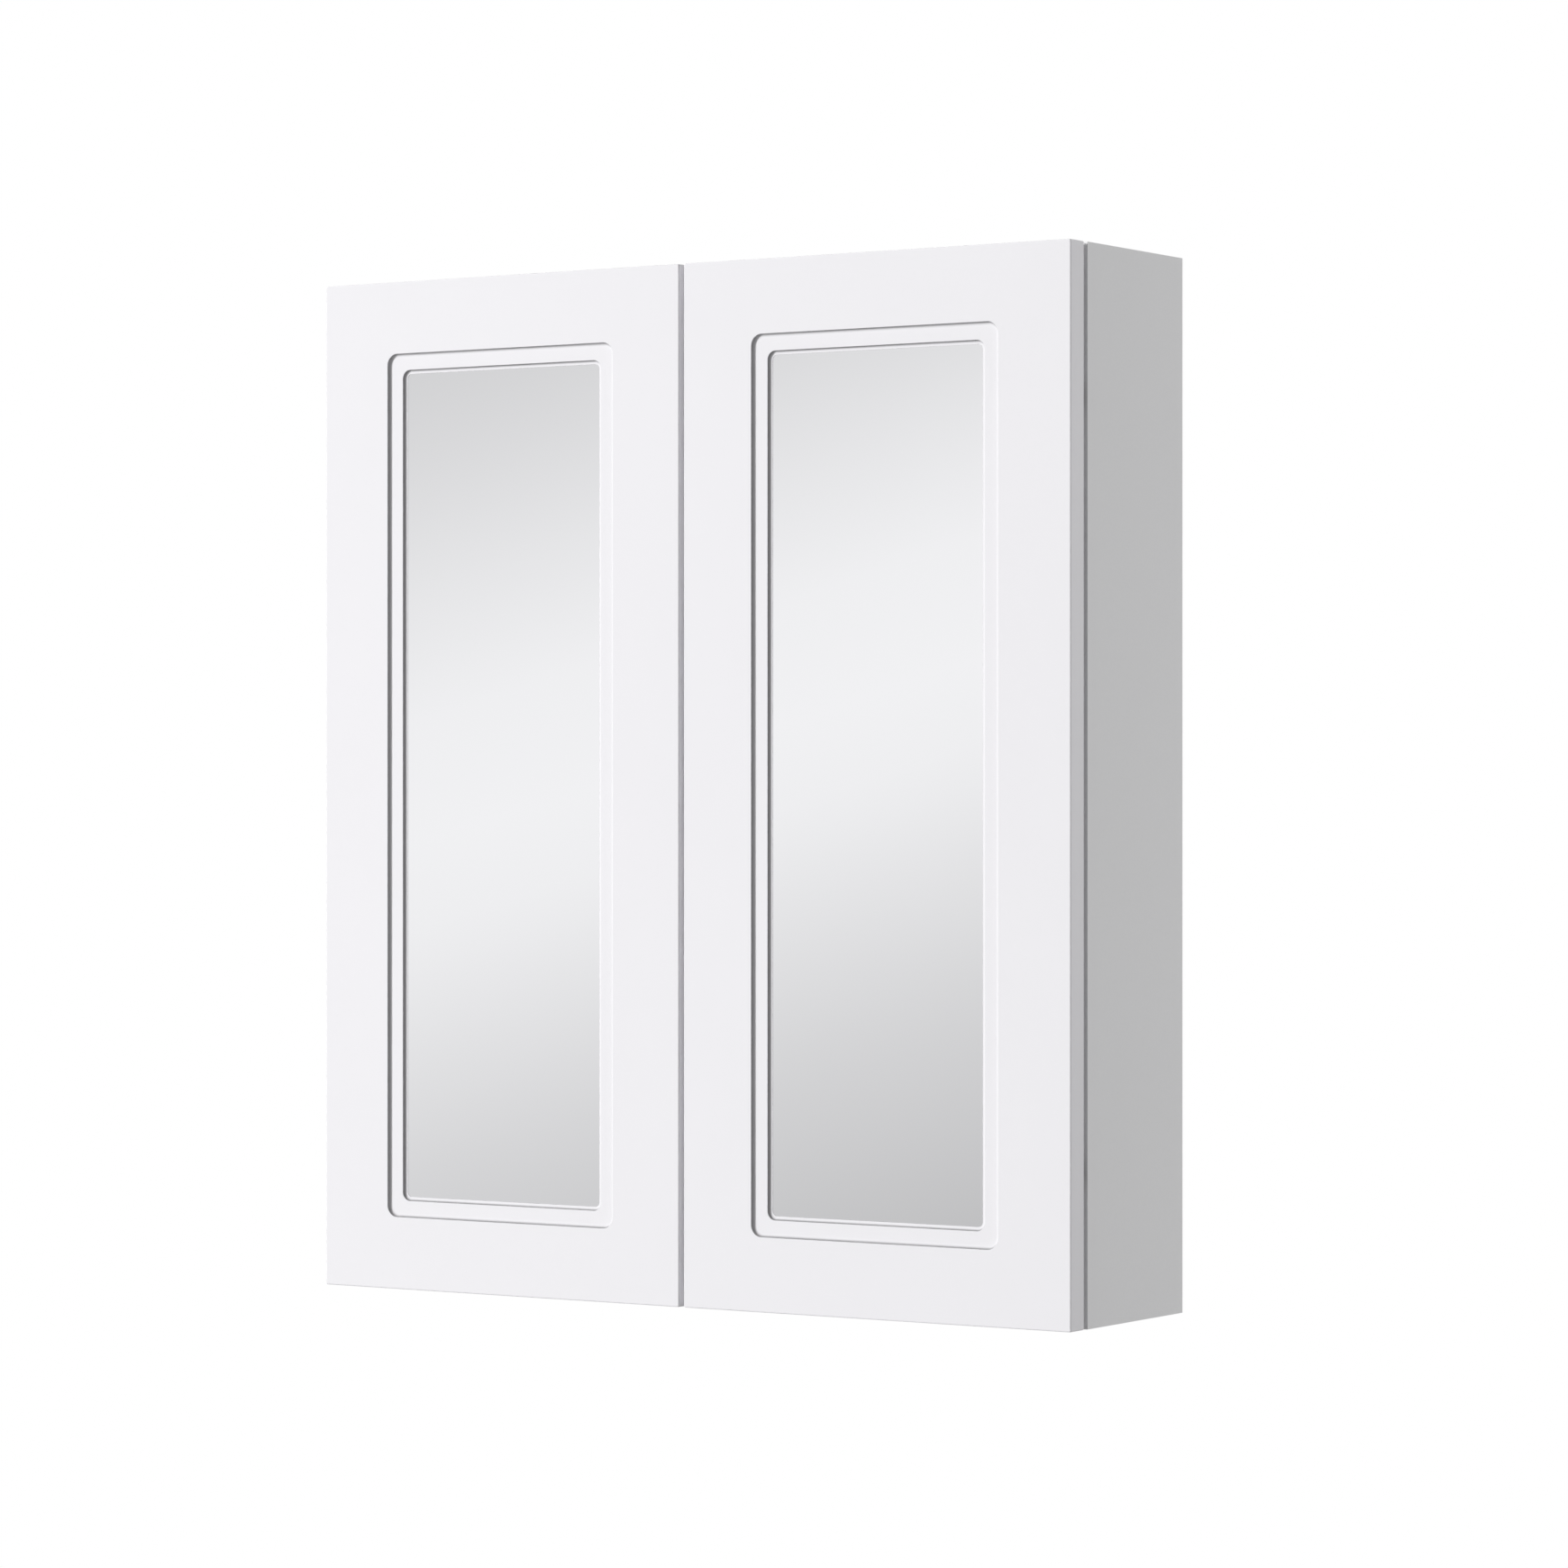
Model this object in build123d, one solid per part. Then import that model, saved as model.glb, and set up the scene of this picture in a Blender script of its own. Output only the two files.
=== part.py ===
from build123d import *
import os

# Wall-hung mirror cabinet with two doors.
# Millimetres. X to the right, Y into the wall, Z up. The origin is the middle of the back, on the wall.
# The pieces of the right half are modelled, and those of the left half are their mirror images.

# Overall size
cabinet_width = 600
cabinet_height = 700
cabinet_depth = 150
centre_gap = 4
door_gap = 4

# Carcass boards
board = 16
edge_strip = 0.8
back_board = 3
back_groove = 5
board_fit = 0.2
rail_height = 80
rail_thickness = 16
wall_hole_radius = 3
wall_hole_inset = 44

# Dowels and cam fixings between the boards
dowel_radius = 4
dowel_in_side = 10
dowel_in_panel = 18
rail_dowel_radius = 3
rail_dowel_spacing = 48
dowel_fit = 0.05
dowel_end_gap = 1
cam_radius = 7.5
cam_height = 11.5
cam_from_end = 24
cam_cover = 1.3
cam_fit = 0.1
cam_recess = (8, 1.6, 3)
cam_bolt_radius = 2.4
cam_bolt_in_side = 10
cam_bolt_collar = (3.6, 1.5)
cam_bolt_neck = 1.6
cam_bolt_head = (3, 3)
cam_bolt_bore = 4
cam_bolt_fit = 0.4
fixing_from_front = 30
fixing_from_back = 36

# Glass shelves and their pins
shelf_count = 2
shelf_thickness = 5
shelf_side_gap = 1.5
shelf_back_gap = 2
shelf_set_back = 13
shelf_corner = 4
shelf_edge = 0.6
pin_radius = 2.45
pin_hole_radius = 2.5
pin_hole_depth = 10
pin_in_side = 8
pin_collar = (4, 1)
pin_arm = (12, 9, 3)
pin_arm_round = 1.2
pin_pad = 0.8
pin_pad_inset = 1
pin_row_pitch = 32
pin_row_holes = 5
pin_row_inset = 18

# Doors
door_thickness = 18
door_front_round = 0.8
door_back_chamfer = 1
stile = 54
rail = 50
outer_corner = 8
outer_step = 2.4
outer_cove = 2.2
band_pitch = 11.4
inner_corner = 6
inner_step = 2
inner_cove = 1.9
lip_width = 2.6
lip_edge = 0.6
mirror_thickness = 4
mirror_lap = 7
mirror_fit = 0.5
mirror_corner = 4
rebate_corner = 3

# Clips that hold the mirror and its backing board in the door
clip_size = (22, 14, 1.2)
clip_round = 3
clip_rows = 3
clip_row_pitch = 190
clip_screw_inset = 6

# Screws: radius and height of the head, radius and length of the shank
clip_screw = (2.8, 1.8, 1.4, 11)
cup_screw = (3.5, 2, 1.8, 12)
plate_screw = (4.2, 2.2, 2.45, 11)
arm_screw = (3.4, 1.8, 1.9, 7)
latch_screw = (3, 2, 1.5, 11)
strike_screw = (2.6, 0.8, 1.3, 10)
screw_fit = 0.05
screw_end_gap = 1

# Hinges: a cup in the door turns on a pin in the nose of an arm
hinge_from_end = 100
cup_radius = 17.5
cup_depth = 11.5
cup_wall = 0.8
cup_edge_gap = 3
cup_fit = 0.15
rim_radius = 18.2
rim_thickness = 1.2
wing_size = (14, 58)
wing_round = 5
wing_offset = 9.5
cup_screw_spacing = 45
pivot_inset = 7.5
pivot_depth = 5.5
hinge_pin_radius = 1.25
hinge_pin_fit = 0.06
eye_radius = 2.6
cheek = 1.2
cheek_gap = 0.4
cheek_reach = 4
nose_half_width = 4.6
nose_thickness = 2.4
nose_reach = 7.5
nose_dip = 1.5
nose_side_gap = 4
nose_rise = 2
nose_bend = 3
plate_from_front = 37
plate_screw_spacing = 32
plate_wing = (2, 14, 46)
plate_rib = (6, 42, 10)
plate_round = 3
arm_length = 50
arm_behind_plate = 22
arm_sheet = 1.2
arm_lift = 1.2
arm_side_fit = 0.2
arm_side_depth = 6
arm_screw_pitch = 24

# Push-to-open latches under the top panel, and strike plates on the doors
latch_from_edge = 26
latch_size = (13, 60, 16)
latch_round = 2
latch_set_back = 7
latch_flange = (38, 24, 2)
latch_flange_from_front = 15
latch_screw_spacing = 28
latch_end_wall = 4
plunger_radius = 4.4
plunger_fit = 0.1
plunger_length = 36
plunger_gap = 0.2
magnet_radius = 3.5
magnet_length = 3
magnet_fit = 0.05
press_stroke = 3
spring_wire_radius = 0.4
spring_radius = 3.3
spring_turns = 9
spring_gap = 0.3
strike_size = (24, 1, 14)
strike_round = 3
strike_screw_spacing = 16
buffer_radius = 4
buffer_thickness = 0.6
buffer_from_edge = 12

# Places that follow from the sizes
side_outer = cabinet_width / 2
side_inner = side_outer - board
top_outer = cabinet_height / 2
top_inner = top_outer - board
top_middle = top_outer - board / 2
door_front = -cabinet_depth
door_back = door_front + door_thickness
carcass_front = door_back + door_gap
board_front = carcass_front + edge_strip
back_panel_front = -rail_thickness - back_board
door_edge = centre_gap / 2
door_width = side_outer - door_edge
door_middle = (side_outer + door_edge) / 2
outer_line = (door_width - 2 * stile, cabinet_height - 2 * rail)
inner_line = [size - 2 * band_pitch for size in outer_line]
opening = [size - 2 * lip_width for size in inner_line]
mirror_sheet = [size + 2 * mirror_lap for size in opening]
rebate = [size + 2 * mirror_fit for size in mirror_sheet]
mirror_front = door_front + outer_step + inner_step + lip_edge
mirror_back = mirror_front + mirror_thickness
rail_middle = top_inner - rail_height / 2
wall_hole_x = side_inner - wall_hole_inset
cam_x = side_inner - cam_from_end
cam_rows = (board_front + fixing_from_front, -fixing_from_back)
dowel_row = sum(cam_rows) / 2
shelf_front = carcass_front + shelf_set_back
shelf_back = back_panel_front - shelf_back_gap
shelf_spacing = 2 * top_inner / (shelf_count + 1)
pin_heights = [shelf_spacing * (row + 1) - top_inner for row in range(shelf_count)]
pin_rows = (shelf_front + pin_row_inset, shelf_back - pin_row_inset)
hinge_height = top_outer - hinge_from_end
cup_x = side_outer - cup_edge_gap - cup_radius
pivot_x = side_outer - pivot_inset
pivot_y = door_back - pivot_depth
cheek_inner = nose_half_width + cheek_gap
cheek_outer = cheek_inner + cheek
plate_y = carcass_front + plate_from_front
plate_face = side_inner - plate_wing[0]
rib_face = plate_face - plate_rib[0]
arm_inner = rib_face - arm_lift
arm_outer = arm_inner - arm_sheet
arm_back = plate_y + arm_behind_plate
arm_front = arm_back - arm_length
latch_x = door_edge + latch_from_edge
latch_z = top_inner - latch_size[2] / 2
latch_front = carcass_front + latch_set_back
latch_back = latch_front + latch_size[1]
plunger_tip = door_back + strike_size[1] + plunger_gap

low_end = (Align.CENTER, Align.CENTER, Align.MIN)
inwards = (0, 1, 0)
outwards = (0, -1, 0)
rightwards = (1, 0, 0)
leftwards = (-1, 0, 0)
upwards = (0, 0, 1)


# A box between three pairs of limits
def block(x, y, z):
    limits = (x, y, z)
    middle = [(low + high) / 2 for low, high in limits]
    return Pos(*middle) * Box(*[high - low for low, high in limits])


# The two limits that lie evenly about a middle
def about(middle, size):
    return (middle - size / 2, middle + size / 2)


# A round bar from a point along a direction
def rod(start, along, radius, length):
    return Plane(origin=start, z_dir=along) * Cylinder(radius, length, align=low_end)


# A slab that faces the room, with rounded corners, between two depths
def slab(middle_x, size, corner, front, back):
    face = Plane(origin=(middle_x, front, 0), x_dir=rightwards, z_dir=inwards)
    return extrude(face * RectangleRounded(*size, corner), amount=back - front)


# A slab whose inner edges are rounded, which cuts a step with a cove at its foot
def cove_cutter(middle_x, size, corner, front, back, cove):
    cutter = slab(middle_x, size, corner, front, back)
    return fillet(cutter.faces().sort_by(Axis.Y)[-1].edges(), cove)


# A pan-head screw with a cross recess. The seat is the point under its head
def screw(seat, into, sizes):
    head_radius, head_height, shank_radius, length = sizes
    head = Cylinder(head_radius, head_height, align=low_end)
    head = fillet(head.edges().group_by(Axis.Z)[-1], head_height / 2)
    bar = Box(head_radius, head_radius / 4, head_height)
    recess = Pos(0, 0, head_height) * (bar + Rot(0, 0, 90) * bar)
    shank = Pos(0, 0, -length) * Cylinder(shank_radius, length, align=low_end)
    away = [-value for value in into]
    return Plane(origin=seat, z_dir=away) * (head - recess + shank)


# The hole that a screw's shank sits in
def screw_hole(seat, into, sizes):
    return rod(seat, into, sizes[2] + screw_fit, sizes[3] + screw_end_gap)


def left_of(pieces):
    return [mirror(piece, about=Plane.YZ) for piece in pieces]


def below(pieces):
    return [mirror(piece, about=Plane.XY) for piece in pieces]


def four_corners(pieces):
    right = pieces + below(pieces)
    return right + left_of(right)


# Cuts that are grown by a fit, so that what they hold has its clearance
def back_groove_cut():
    reach_x = side_inner + back_groove
    reach_z = top_inner + back_groove
    front = back_panel_front - board_fit
    return block((-reach_x, reach_x), (front, board_fit - rail_thickness), (-reach_z, reach_z))


def side_fixing_cuts():
    cuts = []
    for row in cam_rows:
        start = (side_inner, row, top_middle)
        cuts.append(rod(start, rightwards, cam_bolt_radius + dowel_fit, cam_bolt_in_side + dowel_end_gap))
    depth = dowel_in_side + dowel_end_gap
    cuts.append(rod((side_inner, dowel_row, top_middle), rightwards, dowel_radius + dowel_fit, depth))
    for height in about(rail_middle, rail_dowel_spacing):
        start = (side_inner, -rail_thickness / 2, height)
        cuts.append(rod(start, rightwards, rail_dowel_radius + dowel_fit, depth))
    return cuts


def panel_fixing_cuts():
    depth = dowel_in_panel + dowel_end_gap
    cuts = [rod((side_inner, dowel_row, top_middle), leftwards, dowel_radius + dowel_fit, depth)]
    pocket = cam_height + cam_cover
    for row in cam_rows:
        cuts.append(rod((side_inner, row, top_middle), leftwards, cam_bolt_bore, cam_from_end))
        cuts.append(rod((cam_x, row, top_outer - pocket), upwards, cam_radius + cam_fit, pocket))
    return cuts + left_of(cuts)


def shelf_pin_cuts():
    cuts = []
    first = -(pin_row_holes // 2)
    for height in pin_heights:
        for step in range(pin_row_holes):
            for row in pin_rows:
                start = (side_inner, row, height + (first + step) * pin_row_pitch)
                cuts.append(rod(start, rightwards, pin_hole_radius, pin_hole_depth))
    return cuts


# The side panel, with its groove and every hole in its inner face
def side_panel():
    panel = block((side_inner, side_outer), (board_front, 0), (-top_outer, top_outer))
    fixings = side_fixing_cuts()
    plates = [screw_hole(seat, rightwards, plate_screw) for seat in plate_screw_seats()]
    return panel - back_groove_cut() - fixings - below(fixings) - plates - below(plates) - shelf_pin_cuts()


def top_panel():
    panel = block((-side_inner, side_inner), (board_front, 0), (top_inner, top_outer))
    latches = [screw_hole(seat, upwards, latch_screw) for seat in latch_screw_seats()]
    return panel - back_groove_cut() - panel_fixing_cuts() - latches - left_of(latches)


def bottom_panel():
    panel = block((-side_inner, side_inner), (board_front, 0), (-top_outer, -top_inner))
    return panel - back_groove_cut() - below(panel_fixing_cuts())


def edge_strips():
    depth = (carcass_front, board_front)
    side = block((side_inner, side_outer), depth, (-top_outer, top_outer))
    top = block((-side_inner, side_inner), depth, (top_inner, top_outer))
    return [side, top] + left_of([side]) + below([top])


def wall_hole_cuts():
    depth = rail_thickness + back_board
    return four_corners([rod((wall_hole_x, 0, rail_middle), outwards, wall_hole_radius, depth)])


def back_panel():
    reach_x = side_inner + back_groove - board_fit
    reach_z = top_inner + back_groove - board_fit
    panel = block((-reach_x, reach_x), (back_panel_front, -rail_thickness), (-reach_z, reach_z))
    return panel - wall_hole_cuts()


def hanging_rail():
    bar = block((-side_inner, side_inner), (-rail_thickness, 0), (top_inner - rail_height, top_inner))
    depth = dowel_in_panel + dowel_end_gap
    for height in about(rail_middle, rail_dowel_spacing):
        start = (side_inner, -rail_thickness / 2, height)
        hole = rod(start, leftwards, rail_dowel_radius + dowel_fit, depth)
        bar = bar - hole - left_of([hole])
    return bar - wall_hole_cuts()


# Fixings of one corner, which all four corners repeat
def dowels():
    length = dowel_in_side + dowel_in_panel
    end = side_inner + dowel_in_side
    pegs = [rod((end, dowel_row, top_middle), leftwards, dowel_radius, length)]
    for height in about(rail_middle, rail_dowel_spacing):
        pegs.append(rod((end, -rail_thickness / 2, height), leftwards, rail_dowel_radius, length))
    return four_corners(pegs)


def cam_bolts():
    bolts = []
    head_radius, head_length = cam_bolt_head
    for row in cam_rows:
        start = (side_inner, row, top_middle)
        thread = rod(start, rightwards, cam_bolt_radius, cam_bolt_in_side)
        collar = rod(start, leftwards, *cam_bolt_collar)
        neck = rod(start, leftwards, cam_bolt_neck, cam_from_end)
        head = rod((cam_x + head_length / 2, row, top_middle), leftwards, head_radius, head_length)
        bolts.append(thread + collar + neck + head)
    return four_corners(bolts)


def cam_locks():
    locks = []
    top = top_outer - cam_cover
    head_radius, head_length = cam_bolt_head
    catch = head_length / 2 + cam_bolt_fit
    for row in cam_rows:
        lock = rod((cam_x, row, top - cam_height), upwards, cam_radius, cam_height)
        lock -= rod((cam_x + catch, row, top_middle), leftwards, head_radius + cam_bolt_fit, 2 * catch)
        lock -= rod((cam_x, row, top_middle), rightwards, cam_bolt_neck + cam_bolt_fit, cam_radius)
        bar = Box(*cam_recess[:2], 2 * cam_recess[2])
        lock -= Pos(cam_x, row, top) * (bar + Rot(0, 0, 90) * bar)
        locks.append(lock)
    return four_corners(locks)


def cam_covers():
    base = top_outer - cam_cover
    return four_corners([rod((cam_x, row, base), upwards, cam_radius, cam_cover) for row in cam_rows])


# A glass shelf on the pads of its four pins
def shelf(pin_height):
    reach = side_inner - shelf_side_gap
    base = pin_height + pin_arm[2] / 2 + pin_pad
    pane = block((-reach, reach), (shelf_front, shelf_back), (base, base + shelf_thickness))
    front_corners = pane.edges().filter_by(Axis.Z).group_by(Axis.Y)[0]
    pane = fillet(front_corners, shelf_corner)
    return chamfer(pane.edges().filter_by(Plane.XY), shelf_edge)


def shelf_pins():
    pins = []
    end = side_inner - pin_collar[1]
    for height in pin_heights:
        for row in pin_rows:
            start = (side_inner, row, height)
            stem = rod(start, rightwards, pin_radius, pin_in_side)
            collar = rod(start, leftwards, *pin_collar)
            arm = block((end - pin_arm[0], end), about(row, pin_arm[1]), about(height, pin_arm[2]))
            arm = fillet(arm.edges().filter_by(Axis.Z).group_by(Axis.X)[0], pin_arm_round)
            pins.append(stem + collar + arm)
    return pins + left_of(pins)


def shelf_pads():
    pads = []
    end = side_inner - pin_collar[1] - pin_pad_inset
    length = pin_arm[0] - 2 * pin_pad_inset
    width = pin_arm[1] - 2 * pin_pad_inset
    for height in pin_heights:
        base = height + pin_arm[2] / 2
        for row in pin_rows:
            pads.append(block((end - length, end), about(row, width), (base, base + pin_pad)))
    return pads + left_of(pads)


# The wrapped frame of a door, with its moulding, its mirror rebate and the holes in its back
def door_frame():
    frame = block((door_edge, side_outer), (door_front, door_back), (-top_outer, top_outer))
    frame = fillet(frame.faces().sort_by(Axis.Y)[0].edges(), door_front_round)
    frame = chamfer(frame.faces().sort_by(Axis.Y)[-1].edges(), door_back_chamfer)
    band = door_front + outer_step
    ledge = band + inner_step
    frame -= cove_cutter(door_middle, outer_line, outer_corner, door_front, band, outer_cove)
    frame -= cove_cutter(door_middle, inner_line, inner_corner, door_front, ledge, inner_cove)
    frame -= slab(door_middle, opening, inner_corner - lip_width, door_front, door_back)
    frame -= slab(door_middle, rebate, rebate_corner, mirror_front, door_back)
    for height in (-hinge_height, hinge_height):
        start = (cup_x, door_back, height)
        frame -= rod(start, outwards, cup_radius + cup_fit, cup_depth + cup_fit)
    holes = [screw_hole(seat, outwards, cup_screw) for seat in cup_screw_seats()]
    holes += [screw_hole(seat, outwards, clip_screw) for seat in clip_screw_seats()]
    holes += [screw_hole(seat, outwards, strike_screw) for seat in strike_screw_seats()]
    return frame - holes


def mirror_pane():
    return slab(door_middle, mirror_sheet, mirror_corner, mirror_front, mirror_back)


def mirror_backing():
    return slab(door_middle, mirror_sheet, mirror_corner, mirror_back, door_back)


# Each clip's place on the edge of the rebate, and the way from there to the frame
def clip_places():
    places = []
    for side in (-1, 1):
        edge_x = door_middle + side * rebate[0] / 2
        for row in range(clip_rows):
            height = (row - (clip_rows - 1) / 2) * clip_row_pitch
            places.append((edge_x, height, side, 0))
        places.append((door_middle, side * rebate[1] / 2, 0, side))
    return places


def clip_screw_seats():
    face = door_back + clip_size[2]
    inset = clip_screw_inset
    return [(x + way_x * inset, face, z + way_z * inset) for x, z, way_x, way_z in clip_places()]


def mirror_clips():
    length, width, thickness = clip_size
    clips = []
    for x, z, way_x, way_z in clip_places():
        size_x = length if way_x else width
        size_z = length if way_z else width
        clip = block(about(x, size_x), (door_back, door_back + thickness), about(z, size_z))
        clip = fillet(clip.edges().filter_by(Axis.Y), clip_round)
        clips.append(clip)
    holes = [screw_hole(seat, outwards, clip_screw) for seat in clip_screw_seats()]
    return [clip - hole for clip, hole in zip(clips, holes)]


def door_buffers():
    start = (door_edge + buffer_from_edge, door_back, top_middle)
    dot = rod(start, inwards, buffer_radius, buffer_thickness)
    return [dot] + below([dot])


# The hinge cup: shell, rim with wings, and the two cheeks that hold the pin
def hinge_cup():
    start = (cup_x, door_back, hinge_height)
    shell = rod(start, outwards, cup_radius, cup_depth)
    rim = rod(start, inwards, rim_radius, rim_thickness)
    wing = block(
        about(cup_x - wing_offset, wing_size[0]),
        (door_back, door_back + rim_thickness),
        about(hinge_height, wing_size[1]),
    )
    wing = fillet(wing.edges().filter_by(Axis.Y), wing_round)
    mouth = (cup_x, door_back + rim_thickness, hinge_height)
    hollow = rod(mouth, outwards, cup_radius - cup_wall, rim_thickness + cup_depth - cup_wall)
    cup = shell + rim + wing - hollow
    for side in (-1, 1):
        ends = sorted(hinge_height + side * reach for reach in (cheek_inner, cheek_outer))
        wall = block((pivot_x - cheek_reach, side_outer), (door_front, door_back - cheek), ends)
        cup += wall & shell
    cup -= rod((pivot_x, pivot_y, hinge_height - cheek_outer), upwards, hinge_pin_radius, 2 * cheek_outer)
    for seat in cup_screw_seats()[:2]:
        cup -= screw_hole(seat, outwards, cup_screw)
    return cup


def cup_screw_seats():
    face = door_back + rim_thickness
    heights = about(hinge_height, cup_screw_spacing)
    seats = [(cup_x - wing_offset, face, height) for height in heights]
    return seats + [(x, y, -z) for x, y, z in seats]


def hinge_pin():
    start = (pivot_x, pivot_y, hinge_height - cheek_outer)
    return rod(start, upwards, hinge_pin_radius, 2 * cheek_outer)


# The hinge arm: a channel over the plate's rib, and a bent nose that ends in the eye for the pin
def hinge_arm():
    half_width = plate_rib[2] / 2 + arm_side_fit + arm_sheet
    length = (arm_front, arm_back)
    channel = block((arm_outer, arm_outer + arm_side_depth), length, about(hinge_height, 2 * half_width))
    inside = block((arm_inner, side_inner), length, about(hinge_height, 2 * (half_width - arm_sheet)))
    side_bend = (side_inner - nose_side_gap - nose_thickness / 2, pivot_y + nose_rise)
    web_end = ((arm_outer + arm_inner) / 2, arm_front + nose_thickness)
    route = FilletPolyline(
        (pivot_x, pivot_y),
        (pivot_x - nose_reach, pivot_y - nose_dip),
        side_bend,
        web_end,
        radius=nose_bend,
    )
    nose = extrude(trace(route, nose_thickness), amount=nose_half_width, both=True)
    eye = rod((pivot_x, pivot_y, -nose_half_width), upwards, eye_radius, 2 * nose_half_width)
    arm = channel - inside + Pos(0, 0, hinge_height) * (nose + eye)
    arm -= [screw_hole(seat, rightwards, arm_screw) for seat in arm_screw_seats()]
    bore = hinge_pin_radius + hinge_pin_fit
    return arm - rod((pivot_x, pivot_y, hinge_height - cheek_outer), upwards, bore, 2 * cheek_outer)


def arm_screw_seats():
    return [(arm_outer, y, hinge_height) for y in about(plate_y, arm_screw_pitch)]


def hinge_plate():
    wing = block(
        (plate_face, side_inner), about(plate_y, plate_wing[1]), about(hinge_height, plate_wing[2])
    )
    wing = fillet(wing.edges().filter_by(Axis.X), plate_round)
    rib = block((rib_face, side_inner), about(plate_y, plate_rib[1]), about(hinge_height, plate_rib[2]))
    plate = wing + rib
    plate -= [screw_hole(seat, rightwards, plate_screw) for seat in plate_screw_seats()]
    return plate - [screw_hole(seat, rightwards, arm_screw) for seat in arm_screw_seats()]


def plate_screw_seats():
    return [(plate_face, plate_y, height) for height in about(hinge_height, plate_screw_spacing)]


# The latch: a housing, a plunger with a magnet in its tip, and the spring behind it.
# The spring is drawn as short as it is when the plunger is pressed in
def latch_body():
    housing = block(about(latch_x, latch_size[0]), (latch_front, latch_back), about(latch_z, latch_size[2]))
    housing = fillet(housing.edges().filter_by(Axis.Y).group_by(Axis.Z)[0], latch_round)
    flange_front = latch_front + latch_flange_from_front
    flange = block(
        about(latch_x, latch_flange[0]),
        (flange_front, flange_front + latch_flange[1]),
        (top_inner - latch_flange[2], top_inner),
    )
    flange = fillet(flange.edges().filter_by(Axis.Z), latch_round)
    bore = rod(
        (latch_x, latch_front, latch_z), inwards, plunger_radius + plunger_fit, latch_size[1] - latch_end_wall
    )
    return housing + flange - bore - [screw_hole(seat, upwards, latch_screw) for seat in latch_screw_seats()]


def latch_screw_seats():
    middle = latch_front + latch_flange_from_front + latch_flange[1] / 2
    return [(x, middle, top_inner - latch_flange[2]) for x in about(latch_x, latch_screw_spacing)]


def latch_plunger():
    start = (latch_x, plunger_tip, latch_z)
    bar = rod(start, inwards, plunger_radius, plunger_length)
    return bar - rod(start, inwards, magnet_radius + magnet_fit, magnet_length)


def latch_magnet():
    return rod((latch_x, plunger_tip, latch_z), inwards, magnet_radius, magnet_length)


def latch_spring():
    front = plunger_tip + plunger_length + press_stroke + spring_gap + spring_wire_radius
    back = latch_back - latch_end_wall - spring_wire_radius
    height = back - front
    coil = Helix(height / spring_turns, height, spring_radius, (latch_x, front, latch_z), inwards)
    wire = Plane(origin=coil @ 0, z_dir=coil % 0) * Circle(spring_wire_radius)
    return sweep(wire, coil, is_frenet=True)


def strike_screw_seats():
    face = door_back + strike_size[1]
    return [(x, face, latch_z) for x in about(latch_x, strike_screw_spacing)]


def strike_plate():
    plate = block(
        about(latch_x, strike_size[0]), (door_back, door_back + strike_size[1]), about(latch_z, strike_size[2])
    )
    plate = fillet(plate.edges().filter_by(Axis.Y), strike_round)
    return plate - [screw_hole(seat, outwards, strike_screw) for seat in strike_screw_seats()]


def screws(seats, into, sizes):
    return [screw(seat, into, sizes) for seat in seats]


def save(name, pieces):
    solids = [solid for piece in pieces for solid in piece.solids()]
    export_step(Compound(solids), f"parts/{name}.step")


def save_both_sides(name, pieces):
    save(name + "_right", pieces)
    save(name + "_left", left_of(pieces))


def save_carcass():
    save_both_sides("side_panel", [side_panel()])
    save("top_panel", [top_panel()])
    save("bottom_panel", [bottom_panel()])
    save("back_panel", [back_panel()])
    save("hanging_rail_top", [hanging_rail()])
    save("hanging_rail_bottom", below([hanging_rail()]))
    save("edge_strips", edge_strips())
    save("dowels", dowels())
    save("cam_bolts", cam_bolts())
    save("cam_locks", cam_locks())
    save("cam_covers", cam_covers())


def save_shelves():
    for number, height in enumerate(pin_heights, start=1):
        save(f"glass_shelf_{number}", [shelf(height)])
    save("shelf_pins", shelf_pins())
    save("shelf_pads", shelf_pads())


def save_doors():
    save_both_sides("door_frame", [door_frame()])
    save_both_sides("mirror_pane", [mirror_pane()])
    save_both_sides("mirror_backing", [mirror_backing()])
    save_both_sides("mirror_clips", mirror_clips())
    save_both_sides("clip_screws", screws(clip_screw_seats(), outwards, clip_screw))
    save_both_sides("door_buffers", door_buffers())
    save_both_sides("strike_plate", [strike_plate()])
    save_both_sides("strike_screws", screws(strike_screw_seats(), outwards, strike_screw))


def save_hinges():
    cup = [hinge_cup()]
    pin = [hinge_pin()]
    save_both_sides("hinge_cups", cup + below(cup))
    save_both_sides("hinge_pins", pin + below(pin))
    save_both_sides("cup_screws", screws(cup_screw_seats(), outwards, cup_screw))
    save("hinge_arms", four_corners([hinge_arm()]))
    save("hinge_plates", four_corners([hinge_plate()]))
    save("arm_screws", four_corners(screws(arm_screw_seats(), rightwards, arm_screw)))
    save("plate_screws", four_corners(screws(plate_screw_seats(), rightwards, plate_screw)))


def save_latches():
    save_both_sides("latch_body", [latch_body()])
    save_both_sides("latch_plunger", [latch_plunger()])
    save_both_sides("latch_magnet", [latch_magnet()])
    springs = [latch_spring()]
    save("latch_springs", springs + left_of(springs))
    latch_screws = screws(latch_screw_seats(), upwards, latch_screw)
    save("latch_screws", latch_screws + left_of(latch_screws))


os.makedirs("parts", exist_ok=True)
save_carcass()
save_shelves()
save_doors()
save_hinges()
save_latches()
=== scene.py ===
import math

import bmesh
import bpy
from bpy.props import FloatProperty, FloatVectorProperty, IntProperty, PointerProperty
from mathutils import Matrix, Vector


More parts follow.
